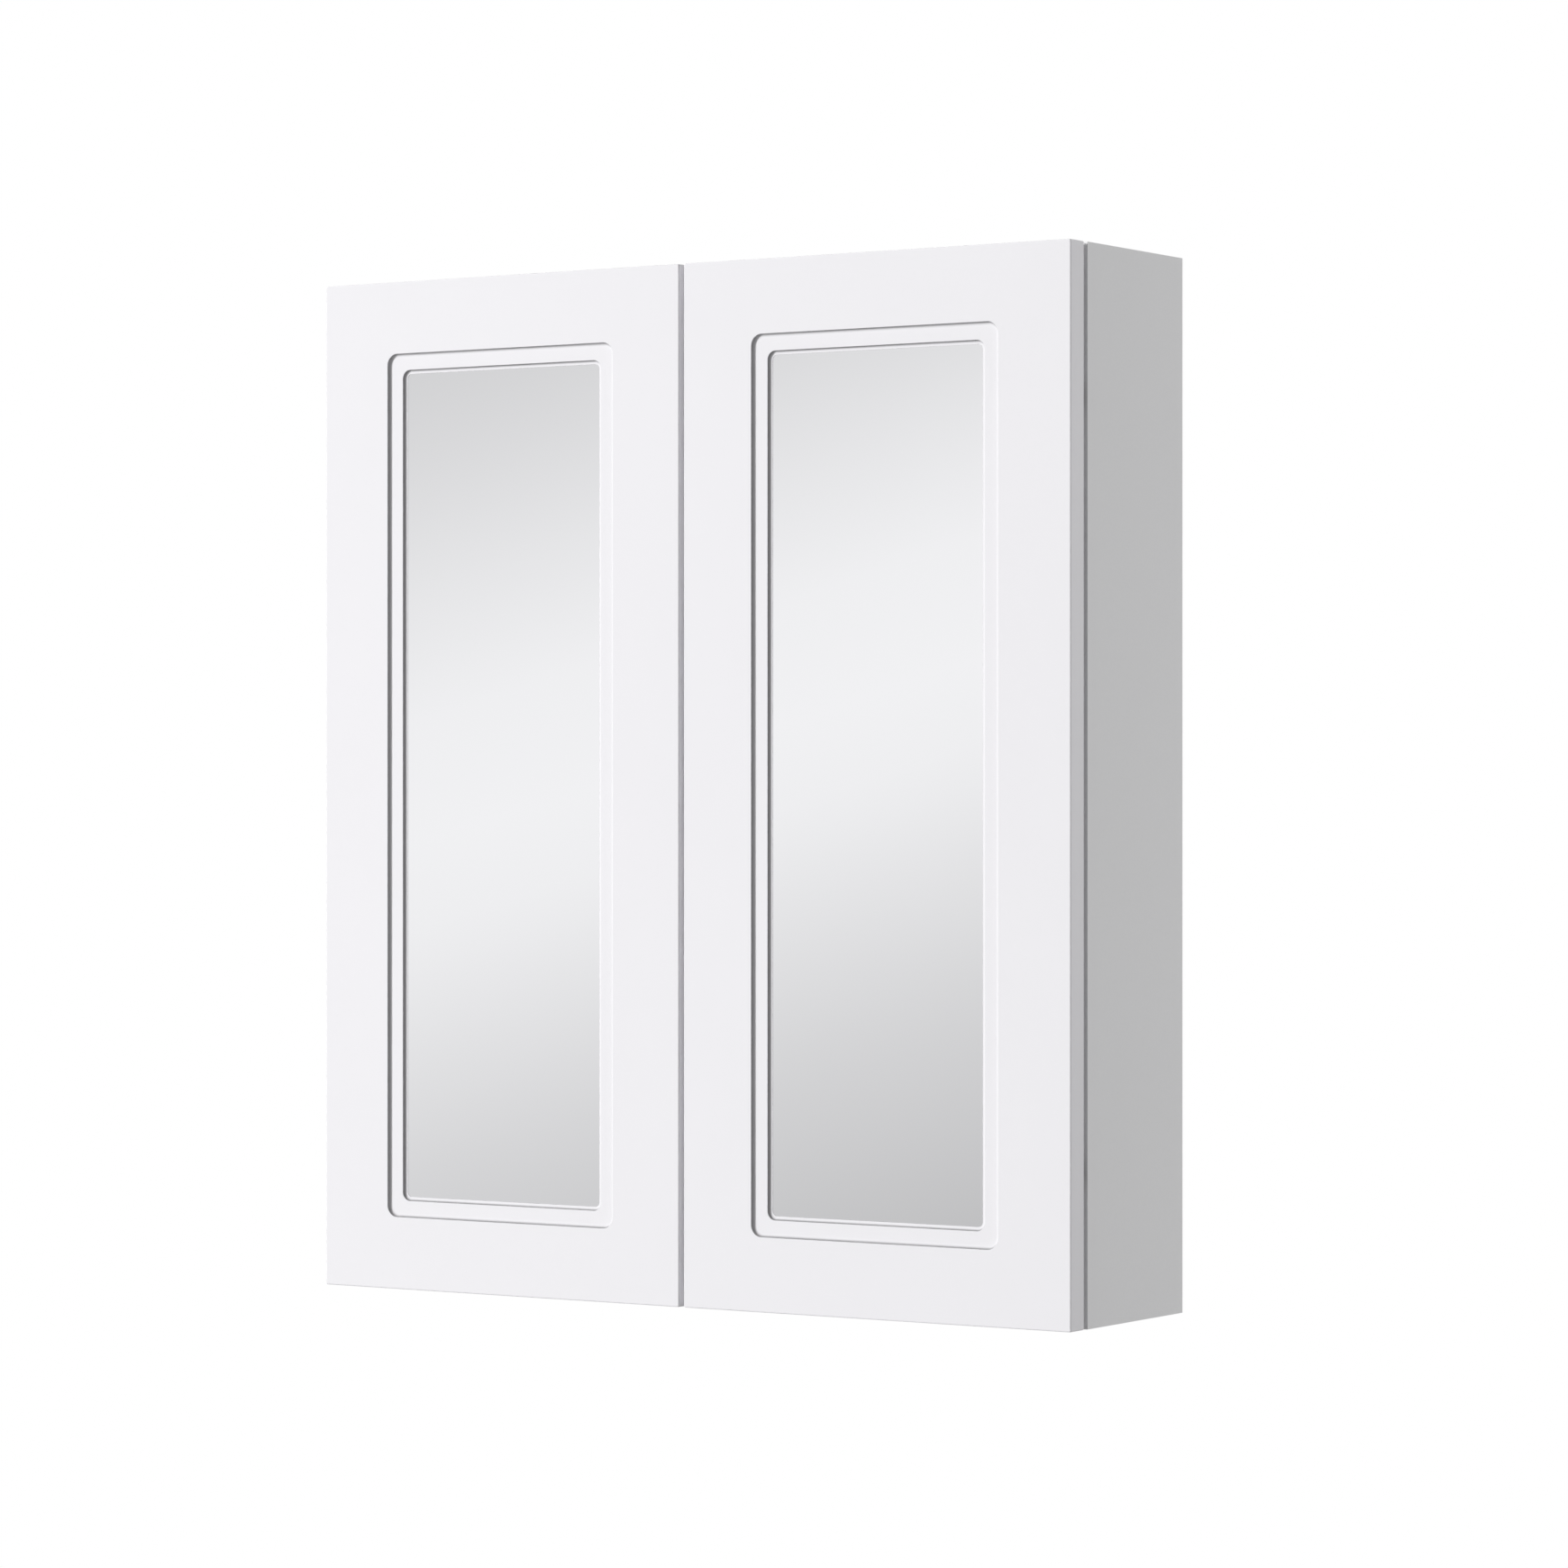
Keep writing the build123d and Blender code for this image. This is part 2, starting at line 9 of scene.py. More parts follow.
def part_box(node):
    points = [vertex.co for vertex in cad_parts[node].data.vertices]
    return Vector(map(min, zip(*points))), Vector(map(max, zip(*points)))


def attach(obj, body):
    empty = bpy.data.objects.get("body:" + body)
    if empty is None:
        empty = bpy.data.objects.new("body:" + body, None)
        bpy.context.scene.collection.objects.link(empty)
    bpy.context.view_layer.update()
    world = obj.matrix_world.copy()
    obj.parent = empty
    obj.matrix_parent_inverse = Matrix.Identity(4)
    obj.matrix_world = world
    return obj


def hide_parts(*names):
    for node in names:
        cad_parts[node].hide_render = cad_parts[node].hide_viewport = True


bl_info = {
    "name": "Mirror cabinet",
    "version": (1, 0, 0),
    "blender": (4, 5, 0),
    "location": "3D View > Sidebar > Mirror cabinet",
    "description": "Dresses the CAD model of a two-door mirror cabinet",
    "category": "Object",
}

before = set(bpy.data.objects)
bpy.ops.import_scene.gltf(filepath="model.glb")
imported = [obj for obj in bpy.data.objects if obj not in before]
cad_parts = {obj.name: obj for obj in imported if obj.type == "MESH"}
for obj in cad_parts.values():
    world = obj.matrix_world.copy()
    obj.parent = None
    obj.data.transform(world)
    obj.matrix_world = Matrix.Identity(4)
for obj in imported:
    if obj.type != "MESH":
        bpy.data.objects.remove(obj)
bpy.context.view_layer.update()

MM = 0.001
FACING_ROOM = Matrix.Rotation(math.radians(90), 4, "X")
SIDES = ("left", "right")
HARD_EDGE = math.radians(30)


def both(stem):
    return [stem + "_" + side for side in SIDES]


def middle_of(node):
    low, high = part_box(node)
    return (low + high) / 2


def colour(code):
    """Turns an sRGB hex code into linear red, green and blue."""
    channels = [int(code[place:place + 2], 16) / 255 for place in (1, 3, 5)]
    return [c / 12.92 if c <= 0.04045 else ((c + 0.055) / 1.055) ** 2.4 for c in channels]


def opaque(channels):
    return (*channels, 1)


def paint(code):
    return opaque(colour(code))


# Sizes and colours that a user can change

def length(name, description, default):
    return FloatProperty(
        name=name, description=description, default=default, unit="LENGTH", precision=5
    )


def tint(name, description, code):
    return FloatVectorProperty(
        name=name, description=description, default=colour(code), subtype="COLOR", min=0, max=1
    )


class DoorSizes(bpy.types.PropertyGroup):
    """Sizes of the moulding that frames each mirror."""
    outer_line: FloatVectorProperty(
        name="Outer line", description="Width and height of the outer step",
        default=(0.190, 0.600), size=2, unit="LENGTH",
    )
    outer_corner: length("Outer corner", "Corner radius of the outer step", 8 * MM)
    outer_step: length("Outer step", "Depth of the outer step", 2.6 * MM)
    band: length("Band", "From the outer step to the inner step", 11.4 * MM)
    inner_corner: length("Inner corner", "Corner radius of the inner step", 6 * MM)
    inner_step: length("Inner step", "Depth of the inner step", 2.2 * MM)
    lip: length("Lip", "Width of the ledge round the mirror", 2.6 * MM)
    rebate_fit: length("Rebate fit", "Gap between the mirror and its rebate", 0.5 * MM)
    front_round: length("Front round", "Radius of the door's front edge", 0.8 * MM)
    back_chamfer: length("Back chamfer", "Chamfer of the door's back edge", 1 * MM)
    eased: length("Eased edge", "Radius of each step's upper edge", 0.3 * MM)
    corner_steps: IntProperty(
        name="Corner steps", description="Edges in each quarter turn", default=12, min=3
    )


class HardwareSizes(bpy.types.PropertyGroup):
    """Sizes of the screws, dowels and springs."""
    thread_pitch: length("Thread pitch", "Advance of the thread in one turn", 1.25 * MM)
    thread_depth: length("Thread depth", "Height of the thread", 0.35 * MM)
    flutes: IntProperty(name="Flutes", description="Flutes round each dowel", default=20, min=6)
    flute_depth: length("Flute depth", "Depth of the flutes", 0.2 * MM)
    spring_turns: FloatProperty(
        name="Spring turns", description="Turns of each spring", default=9, min=2
    )
    spring_wire: length("Spring wire", "Radius of the spring wire", 0.4 * MM)


class Finishes(bpy.types.PropertyGroup):
    """Colours of the finishes."""
    wrap: tint("Vinyl wrap", "Film on the doors", "#F6F5F8")
    melamine: tint("Melamine", "Face of the boards", "#F3F3F4")
    chip: tint("Chipboard", "Core of the boards", "#C2A47C")
    silver: tint("Silvering", "Reflecting layer of the mirrors", "#F8F8FA")
    shelf_glass: tint("Shelf glass", "Body of the glass shelves", "#EAF7F1")
    nickel: tint("Nickel", "Plating of the hinges", "#C9C6C0")
    zinc: tint("Zinc", "Plating of the screws", "#C4C7CB")


class Studio(bpy.types.PropertyGroup):
    """Light and camera."""
    key_power: FloatProperty(
        name="Key lamp", description="Power of the lamp at the front left",
        default=1930, unit="POWER",
    )
    side_power: FloatProperty(
        name="Side lamp", description="Power of the lamp at the right", default=22.5, unit="POWER"
    )
    back_power: FloatProperty(
        name="Back lamp", description="Power of the lamp behind, which lights the back alone",
        default=260, unit="POWER",
    )
    top_power: FloatProperty(
        name="Top lamp", description="Power of the lamp above", default=14, unit="POWER"
    )
    ambient: FloatProperty(
        name="Ambient", description="Strength of the light from all round", default=0.22
    )
    lens: FloatProperty(
        name="Lens", description="Focal length on a 36 mm frame", default=120.5, unit="CAMERA"
    )
    place: FloatVectorProperty(
        name="Camera", description="Where the camera stands", default=(1.9616, -3.0739, 0.001),
        subtype="TRANSLATION", unit="LENGTH",
    )
    yaw: FloatProperty(
        name="Yaw", description="Turn of the camera about the upright axis",
        default=math.radians(32.735), subtype="ANGLE",
    )


# Node trees

def first_output(value):
    return value.outputs[0] if isinstance(value, bpy.types.Node) else value


def add(tree, kind, settings=None, inputs=None):
    """Adds a node, sets its options, and fills each input with a value or a link."""
    made = tree.nodes.new(kind)
    for name, value in (settings or {}).items():
        setattr(made, name, value)
    for key, value in (inputs or {}).items():
        value = first_output(value)
        if isinstance(value, bpy.types.NodeSocket):
            tree.links.new(value, made.inputs[key])
        else:
            made.inputs[key].default_value = value
    return made


def feed(tree, shader, name, value):
    """Drives one input of a shader."""
    tree.links.new(first_output(value), shader.inputs[name])


def maths(tree, operation, *values):
    return add(tree, "ShaderNodeMath", {"operation": operation}, dict(enumerate(values)))


def blank_tree(name, sockets):
    """An empty geometry tree with named inputs."""
    tree = bpy.data.node_groups.new(name, "GeometryNodeTree")
    tree.interface.new_socket("Geometry", in_out="INPUT", socket_type="NodeSocketGeometry")
    for label, kind in sockets.items():
        tree.interface.new_socket(label, in_out="INPUT", socket_type="NodeSocket" + kind)
    tree.interface.new_socket("Geometry", in_out="OUTPUT", socket_type="NodeSocketGeometry")
    return tree, add(tree, "NodeGroupInput")


def ended(tree, given, geometry):
    """Ends a geometry tree: real geometry, in the material that its input names."""
    real = add(tree, "GeometryNodeRealizeInstances", None, {0: geometry})
    dressed = add(
        tree, "GeometryNodeSetMaterial", None, {0: real, "Material": given.outputs["Material"]}
    )
    add(tree, "NodeGroupOutput", None, {0: dressed})
    return tree


def loft_tree():
    """A skin over rounded rectangles: each point of the input gives one, as half width, half height
    and place along the axis, with its corner radius in the attribute 'corner'. The attribute
    'relief' is the depth of a ribbed surface there: a thread, or flutes along the axis."""
    tree, given = blank_tree("Rounded loft", {
        "Corner steps": "Int", "Closed": "Int", "Ribs per turn": "Float", "Ribs per metre": "Float",
        "Material": "Material",
    })
    rows = add(
        tree, "GeometryNodeAttributeDomainSize", None, {0: given.outputs["Geometry"]}
    ).outputs[0]
    per_corner = maths(tree, "ADD", given.outputs["Corner steps"], 1)
    columns = maths(tree, "ADD", maths(tree, "MULTIPLY", per_corner, 4), 1)
    rows_made = maths(tree, "ADD", rows, given.outputs["Closed"])
    length_x = maths(tree, "SUBTRACT", rows_made, 1)
    length_y = maths(tree, "SUBTRACT", columns, 1)
    grid = add(
        tree, "GeometryNodeMeshGrid", None, {0: length_x, 1: length_y, 2: rows_made, 3: columns}
    )
    here = add(tree, "ShaderNodeSeparateXYZ", None, {0: add(tree, "GeometryNodeInputPosition")})
    along = maths(
        tree, "ROUND", maths(tree, "ADD", here.outputs[0], maths(tree, "MULTIPLY", length_x, 0.5))
    )
    row = maths(tree, "MODULO", along, rows)
    step = maths(
        tree, "ROUND", maths(tree, "ADD", here.outputs[1], maths(tree, "MULTIPLY", length_y, 0.5))
    )
    corner = maths(tree, "FLOOR", maths(tree, "DIVIDE", maths(tree, "ADD", step, 0.01), per_corner))
    part = maths(tree, "SUBTRACT", step, maths(tree, "MULTIPLY", corner, per_corner))
    turn = maths(tree, "DIVIDE", part, given.outputs["Corner steps"])
    quarter = math.pi / 2
    angle = maths(tree, "MULTIPLY", maths(tree, "ADD", corner, turn), quarter)
    sector = maths(tree, "MULTIPLY", maths(tree, "ADD", corner, 0.5), quarter)
    station = add(
        tree, "GeometryNodeSampleIndex", {"data_type": "FLOAT_VECTOR", "domain": "POINT"},
        {0: given.outputs["Geometry"], 1: add(tree, "GeometryNodeInputPosition"), 2: row},
    )
    sampled = {}
    for name in ("corner", "relief"):
        stored = add(
            tree, "GeometryNodeInputNamedAttribute", {"data_type": "FLOAT"}, {"Name": name}
        )
        sampled[name] = add(
            tree, "GeometryNodeSampleIndex", {"data_type": "FLOAT", "domain": "POINT"},
            {0: given.outputs["Geometry"], 1: stored, 2: row},
        )
    radius = sampled["corner"]
    half = add(tree, "ShaderNodeSeparateXYZ", None, {0: station})
    turned = maths(
        tree, "MULTIPLY", maths(tree, "DIVIDE", angle, math.tau), given.outputs["Ribs per turn"]
    )
    advanced = maths(tree, "MULTIPLY", half.outputs[2], given.outputs["Ribs per metre"])
    rib = maths(
        tree, "MULTIPLY", maths(tree, "PINGPONG", maths(tree, "ADD", turned, advanced), 0.5), 2
    )
    bent = maths(tree, "SUBTRACT", radius, maths(tree, "MULTIPLY", rib, sampled["relief"]))
    places = []
    for axis, wave in ((0, "COSINE"), (1, "SINE")):
        way = maths(tree, "SIGN", maths(tree, wave, sector))
        centre = maths(tree, "MULTIPLY", way, maths(tree, "SUBTRACT", half.outputs[axis], radius))
        places.append(
            maths(tree, "ADD", centre, maths(tree, "MULTIPLY", bent, maths(tree, wave, angle)))
        )
    place = add(
        tree, "ShaderNodeCombineXYZ", None, {0: places[0], 1: places[1], 2: half.outputs[2]}
    )
    moved = add(tree, "GeometryNodeSetPosition", None, {0: grid, "Position": place})
    merged = add(tree, "GeometryNodeMergeByDistance", None, {0: moved, "Distance": 0.002 * MM})
    return ended(tree, given, merged)


def coil_tree():
    """A helical spring about the axis."""
    tree, given = blank_tree("Coil spring", {
        "Turns": "Float", "Radius": "Float", "Height": "Float", "Wire": "Float",
        "Material": "Material",
    })
    helix = add(tree, "GeometryNodeCurveSpiral", None, {
        "Resolution": 24, "Rotations": given.outputs["Turns"], "Height": given.outputs["Height"],
        "Start Radius": given.outputs["Radius"], "End Radius": given.outputs["Radius"],
    })
    wire = add(
        tree, "GeometryNodeCurvePrimitiveCircle", {"mode": "RADIUS"},
        {"Resolution": 10, "Radius": given.outputs["Wire"]},
    )
    swept = add(
        tree, "GeometryNodeCurveToMesh", None,
        {"Curve": helix, "Profile Curve": wire.outputs["Curve"], "Fill Caps": True},
    )
    return ended(tree, given, swept)


def copies_tree():
    """Sets one copy of a piece on each point of the input, turned as its attribute 'turn' says."""
    tree, given = blank_tree("Repeated piece", {"Piece": "Object", "Material": "Material"})
    piece = add(tree, "GeometryNodeObjectInfo", None, {0: given.outputs["Piece"]})
    turn = add(
        tree, "GeometryNodeInputNamedAttribute", {"data_type": "FLOAT_VECTOR"}, {"Name": "turn"}
    )
    rotation = add(tree, "FunctionNodeEulerToRotation", None, {0: turn})
    copies = add(
        tree, "GeometryNodeInstanceOnPoints", None,
        {0: given.outputs["Geometry"], "Instance": piece.outputs["Geometry"], "Rotation": rotation},
    )
    return ended(tree, given, copies)


def tree_named(name, maker):
    return bpy.data.node_groups.get(name) or maker()


def points_mesh(name, points, kind="FLOAT", **attributes):
    """A mesh of loose points, each with a value of every attribute."""
    mesh = bpy.data.meshes.new(name)
    mesh.from_pydata(points, [], [])
    for attribute, values in attributes.items():
        data = mesh.attributes.new(attribute, kind, "POINT").data
        data.foreach_set("vector" if kind == "FLOAT_VECTOR" else "value", values)
    return mesh


def grown(name, source, tree, values):
    """Runs a geometry tree on a mesh, and gives the result as a plain mesh on a new object."""
    piece = bpy.data.objects.new(name, source)
    bpy.context.scene.collection.objects.link(piece)
    modifier = piece.modifiers.new("Shape", "NODES")
    modifier.node_group = tree
    for socket in tree.interface.items_tree:
        if socket.in_out == "INPUT" and socket.name in values:
            modifier[socket.identifier] = values[socket.name]
    return settled(piece)


def settled(piece):
    """Turns a piece with modifiers into a plain mesh."""
    graph = bpy.context.evaluated_depsgraph_get()
    mesh = bpy.data.meshes.new_from_object(piece.evaluated_get(graph))
    piece.modifiers.clear()
    piece.data = mesh
    return piece


def tidy(piece):
    """Welds a closed skin, fills its ends, turns its faces outwards and marks its hard edges."""
    skin = bmesh.new()
    skin.from_mesh(piece.data)
    bmesh.ops.remove_doubles(skin, verts=skin.verts, dist=0.001 * MM)
    bmesh.ops.holes_fill(skin, edges=[edge for edge in skin.edges if edge.is_boundary], sides=0)
    bmesh.ops.recalc_face_normals(skin, faces=skin.faces)
    skin.to_mesh(piece.data)
    skin.free()
    piece.data.shade_smooth()
    piece.data.set_sharp_from_angle(angle=HARD_EDGE)
    return piece


def lofted(name, stations, material, closed=False, steps=12, ribs=(0.0, 0.0), relief=None):
    """A skin over stations, each (half width, half height, corner radius, place along the axis)."""
    spots = [(x, y, z) for x, y, corner, z in stations]
    corners = [corner for x, y, corner, z in stations]
    source = points_mesh(name, spots, corner=corners, relief=relief or [0.0] * len(stations))
    piece = grown(name, source, tree_named("Rounded loft", loft_tree), {
        "Corner steps": steps, "Closed": int(closed), "Ribs per turn": ribs[0],
        "Ribs per metre": ribs[1], "Material": material,
    })
    return tidy(piece)


def turned(name, outline, material, steps=12, **ribbed):
    """A round piece: its outline is a list of (radius, place along the axis)."""
    return lofted(
        name, [(radius, radius, radius, place) for radius, place in outline], material, False,
        steps, **ribbed,
    )


def repeated(name, piece, places, material):
    """Copies of a piece, each at a place with its turn, as one plain mesh. The first piece goes."""
    spots = [spot for spot, turn in places]
    turns = [angle for spot, turn in places for angle in turn]
    source = points_mesh(name, spots, "FLOAT_VECTOR", turn=turns)
    made = grown(
        name, source, tree_named("Repeated piece", copies_tree),
        {"Piece": piece, "Material": material},
    )
    bpy.data.objects.remove(piece)
    return made


def without(piece, cutter):
    """Cuts one piece out of another, and removes the cutter."""
    modifier = piece.modifiers.new("Cut", "BOOLEAN")
    modifier.operation = "DIFFERENCE"
    modifier.solver = "EXACT"
    modifier.object = cutter
    settled(piece)
    bpy.data.objects.remove(cutter)
    return tidy(piece)


def joined(pieces):
    """Makes several pieces of one finish into one mesh, on the first piece."""
    skin = bmesh.new()
    for piece in pieces:
        skin.from_mesh(piece.data)
    skin.to_mesh(pieces[0].data)
    skin.free()
    for piece in pieces[1:]:
        bpy.data.objects.remove(piece)
    return pieces[0]


def solids(node):
    """The box of each separate solid in a CAD node, as its lowest and highest corner."""
    skin = bmesh.new()
    skin.from_mesh(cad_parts[node].data)
    bmesh.ops.remove_doubles(skin, verts=skin.verts, dist=0.01 * MM)
    left = set(skin.verts)
    boxes = []
    while left:
        reached = [left.pop()]
        low, high = reached[0].co.copy(), reached[0].co.copy()
        while reached:
            vertex = reached.pop()
            low = Vector(map(min, low, vertex.co))
            high = Vector(map(max, high, vertex.co))
            near = {edge.other_vert(vertex) for edge in vertex.link_edges} & left
            left -= near
            reached.extend(near)
        boxes.append((low, high))
    skin.free()
    return sorted(boxes, key=lambda box: tuple(box[0]))


def placed(piece, matrix):
    piece.data.transform(matrix)
    piece.data.update()
    return piece


def fitted(piece, body, slot, *nodes):
    """Puts a finished piece under the empty of its body and hides the CAD nodes it stands for;
    slot, its finish, is not used.
    """
    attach(piece, body)
    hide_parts(*nodes)
    return piece


def finish(node, material):
    """Gives a CAD node its material."""
    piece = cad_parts[node]
    if not piece.material_slots:
        piece.data.materials.append(material)
    for place in piece.material_slots:
        place.material = material


# Finishes

def begin(name, **constants):
    """A material with its shader and the coordinates that its pattern follows."""
    material = bpy.data.materials.new(name)
    material.use_nodes = True
    tree = material.node_tree
    shader = tree.nodes["Principled BSDF"]
    for socket, value in constants.items():
        shader.inputs[socket.replace("_", " ")].default_value = value
    spot = add(tree, "ShaderNodeTexCoord").outputs["Object"]
    return material, tree, shader, spot


def cells(millimetres):
    """The texture scale at which one cell has this size."""
    return 1 / (millimetres * MM)


def grain(tree, spot, size, detail=2, stretch=(1, 1, 1)):
    """Noise with cells of one size in millimetres, drawn out along the axes that stretch names."""
    scaled = add(
        tree, "ShaderNodeMapping", None, {0: spot, "Scale": [1 / value for value in stretch]}
    )
    return add(
        tree, "ShaderNodeTexNoise", None,
        {"Vector": scaled, "Scale": cells(size), "Detail": detail, "Roughness": 0.55},
    )


def between(tree, factor, low, high):
    """A value that goes from low to high as a pattern goes from 0.3 to 0.7."""
    return add(tree, "ShaderNodeMapRange", None, {0: factor, 1: 0.3, 2: 0.7, 3: low, 4: high})


def blend(tree, factor, first, second):
    """A colour mixed from two by a pattern."""
    mixed = add(tree, "ShaderNodeMix", {"data_type": "RGBA"}, {0: factor, 6: first, 7: second})
    return mixed.outputs[2]


def rough(tree, shader, height, depth):
    """Relief of a given depth in millimetres."""
    bump = add(
        tree, "ShaderNodeBump", None, {"Height": height, "Distance": depth * MM, "Strength": 1}
    )
    feed(tree, shader, "Normal", bump)


def facing(tree):
    """The way that the surface faces, as x, y and z."""
    normal = add(tree, "ShaderNodeTexCoord").outputs["Normal"]
    return add(tree, "ShaderNodeSeparateXYZ", None, {0: normal})


def shade(channels, factor):
    return [min(1, channel * factor) for channel in channels]


def shaded(channels, factor):
    return opaque(shade(channels, factor))


def vinyl_wrap(finishes):
    """Vacuum-pressed vinyl film: a satin skin over the routed board, rippled like orange peel."""
    material, tree, shader, spot = begin(
        "Vacuum-pressed vinyl film, satin white", Roughness=0.34, IOR=1.5
    )
    cloud = grain(tree, spot, 60)
    film = blend(tree, cloud, shaded(finishes.wrap, 0.985), opaque(finishes.wrap))
    # Painted shade: the steep flanks of the moulding are painted greyer, at 0.42 of the film's
    # colour, so that its lines stand out darker.
    # It stops at the back: the rebate and the bores show bare fibreboard
    low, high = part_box("door_frame_right")
    pane_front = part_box("mirror_pane_right")[0].y
    place = add(tree, "ShaderNodeSeparateXYZ", None, {0: spot})
    normal = facing(tree)
    behind = maths(tree, "GREATER_THAN", place.outputs[1], pane_front + 0.05 * MM)
    painted_shade_by_slope = add(
        tree, "ShaderNodeMapRange", None,
        {0: maths(tree, "ABSOLUTE", normal.outputs[1]), 1: 0.97, 2: 0.5, 3: 0.0, 4: 1.0}
    )
    across = maths(
        tree, "ABSOLUTE",
        maths(tree, "SUBTRACT", maths(tree, "ABSOLUTE", place.outputs[0]), (low.x + high.x) / 2),
    )
    margin = 1.5 * MM
    inside_x = maths(tree, "LESS_THAN", across, (high.x - low.x) / 2 - margin)
    upright = maths(tree, "ABSOLUTE", place.outputs[2])
    inside_z = maths(tree, "LESS_THAN", upright, high.z - margin)
    moulding = maths(tree, "MULTIPLY", inside_x, maths(tree, "MULTIPLY", inside_z, painted_shade_by_slope))
    # Painted shade on the moulding's steep flanks, at 0.42 of the film's colour
    film = blend(tree, moulding, film, shaded(finishes.wrap, 0.42))
    sideways = maths(tree, "LESS_THAN", normal.outputs[1], 0.6)
    bare = maths(
        tree, "MULTIPLY", maths(tree, "MULTIPLY", behind, inside_x),
        maths(tree, "MULTIPLY", inside_z, sideways),
    )
    fibre = blend(tree, grain(tree, spot, 0.9, 5), paint("#A9855C"), paint("#CDB089"))
    feed(tree, shader, "Base Color", blend(tree, bare, film, fibre))
    sheen = between(tree, grain(tree, spot, 25), 0.30, 0.38)
    feed(tree, shader, "Roughness", maths(tree, "MULTIPLY_ADD", bare, 0.45, sheen))
    # Orange peel is about 1 mm wide, and drawn at 3 mm so that it shows
    rough(tree, shader, grain(tree, spot, 3), 0.006)
    return material


def melamine_board(finishes, axis):
    """Melamine-faced chipboard: hard satin white faces, and bare chips where sawn or drilled."""
    name = "Melamine-faced chipboard, faces across " + "XYZ"[axis]
    material, tree, shader, spot = begin(name, IOR=1.5)
    normal = facing(tree)
    place = add(tree, "ShaderNodeSeparateXYZ", None, {0: spot})
    face = maths(tree, "GREATER_THAN", maths(tree, "ABSOLUTE", normal.outputs[axis]), 0.7)
    # The two ends of the side panels are edged, as the strip along their front is
    end = maths(
        tree, "GREATER_THAN", maths(tree, "ABSOLUTE", place.outputs[2]),
        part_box("side_panel_right")[1].z - 0.1 * MM,
    )
    white = maths(tree, "MAXIMUM", face, end)
    chips = add(
        tree, "ShaderNodeTexVoronoi", {"feature": "F1"},
        {
            "Vector": add(tree, "ShaderNodeMapping", None, {0: spot, "Scale": (1, 1, 0.45)}),
            "Scale": cells(1.6),
        },
    )
    hue = add(tree, "ShaderNodeSeparateColor", None, {0: chips.outputs["Color"]})
    core = blend(tree, hue, shaded(finishes.chip, 0.68), shaded(finishes.chip, 1.3))
    cloud, paper = grain(tree, spot, 1.4), finishes.melamine
    skin = blend(tree, cloud, shaded(paper, 0.955), opaque(paper))
    feed(tree, shader, "Base Color", blend(tree, white, core, skin))
    feed(tree, shader, "Roughness", maths(tree, "MULTIPLY_ADD", white, -0.45, 0.9))
    # The press plate leaves a fine pearl of about 0.5 mm, drawn at 1.2 mm so that it shows
    pearl = maths(tree, "MULTIPLY", grain(tree, spot, 1.2), 0.05)
    pits = maths(tree, "MULTIPLY", maths(tree, "SUBTRACT", 1, white), chips.outputs["Distance"])
    rough(tree, shader, maths(tree, "ADD", pearl, pits), 0.3)
    return material


def hardboard():
    """Thin hardboard: white lacquer in front, brown pressed fibre with a mesh print behind."""
    material, tree, shader, spot = begin("Hardboard, white lacquered on one side", IOR=1.5)
    normal = facing(tree)
    front = maths(tree, "LESS_THAN", normal.outputs[1], -0.7)
    fibre = grain(tree, spot, 1.2, 6, (3, 1, 1))
    brown = blend(tree, fibre, paint("#7E5B3B"), paint("#B08A60"))
    lacquer = blend(tree, grain(tree, spot, 40), paint("#E9E9E8"), paint("#F1F1F0"))
    feed(tree, shader, "Base Color", blend(tree, front, brown, lacquer))
    feed(tree, shader, "Roughness", maths(tree, "MULTIPLY_ADD", front, -0.35, 0.8))
    weave = add(
        tree, "ShaderNodeTexVoronoi", {"feature": "F1"},
        {"Vector": spot, "Scale": cells(1.5), "Randomness": 0.15},
    )
    back = maths(tree, "SUBTRACT", 1, maths(tree, "MULTIPLY", front, 0.95))
    rough(tree, shader, maths(tree, "MULTIPLY", weave.outputs["Distance"], back), 0.25)
    return material


def edging():
    """Extruded ABS edging: even white with fine drawn lines along its length."""
    material, tree, shader, spot = begin("ABS edging, extruded white", Roughness=0.4, IOR=1.52)
    lines = grain(tree, spot, 0.8, 2, (1, 1, 30))
    feed(tree, shader, "Base Color", blend(tree, lines, paint("#EDEDEE"), paint("#F4F4F5")))
    rough(tree, shader, lines, 0.01)
    return material


def beech():
    """Beech: pale pinkish wood with short dark flecks along the grain."""
    material, tree, shader, spot = begin("Beech, turned", Roughness=0.6, IOR=1.5)
    fibre = grain(tree, spot, 0.5, 4, (12, 1, 1))
    fleck = between(tree, grain(tree, spot, 0.35, 1, (8, 1, 1)), 0, 1)
    wood = blend(tree, fibre, paint("#C79A6B"), paint("#E6C79E"))
    feed(tree, shader, "Base Color", blend(tree, fleck, paint("#A8764A"), wood))
    rough(tree, shader, fibre, 0.08)
    return material


def plated(name, channels, roughness, size, stretch=(1, 1, 1), depth=0.01):
    """Plated metal: the plating's colour, its roughness broken up by the metal under it."""
    material, tree, shader, spot = begin(name, Metallic=1.0)
    cloud = grain(tree, spot, size * 6, 3)
    feed(tree, shader, "Base Color", blend(tree, cloud, shaded(channels, 0.88), opaque(channels)))
    texture = grain(tree, spot, size, 3, stretch)
    feed(tree, shader, "Roughness", between(tree, texture, roughness * 0.75, roughness * 1.3))
    rough(tree, shader, texture, depth)
    return material


def bright_zinc(finishes):
    """Bright zinc plating: cool grey and fairly shiny, with a faint cloud."""
    name = "Steel, bright zinc plated"
    return bpy.data.materials.get(name) or plated(name, list(finishes.zinc), 0.3, 0.5)


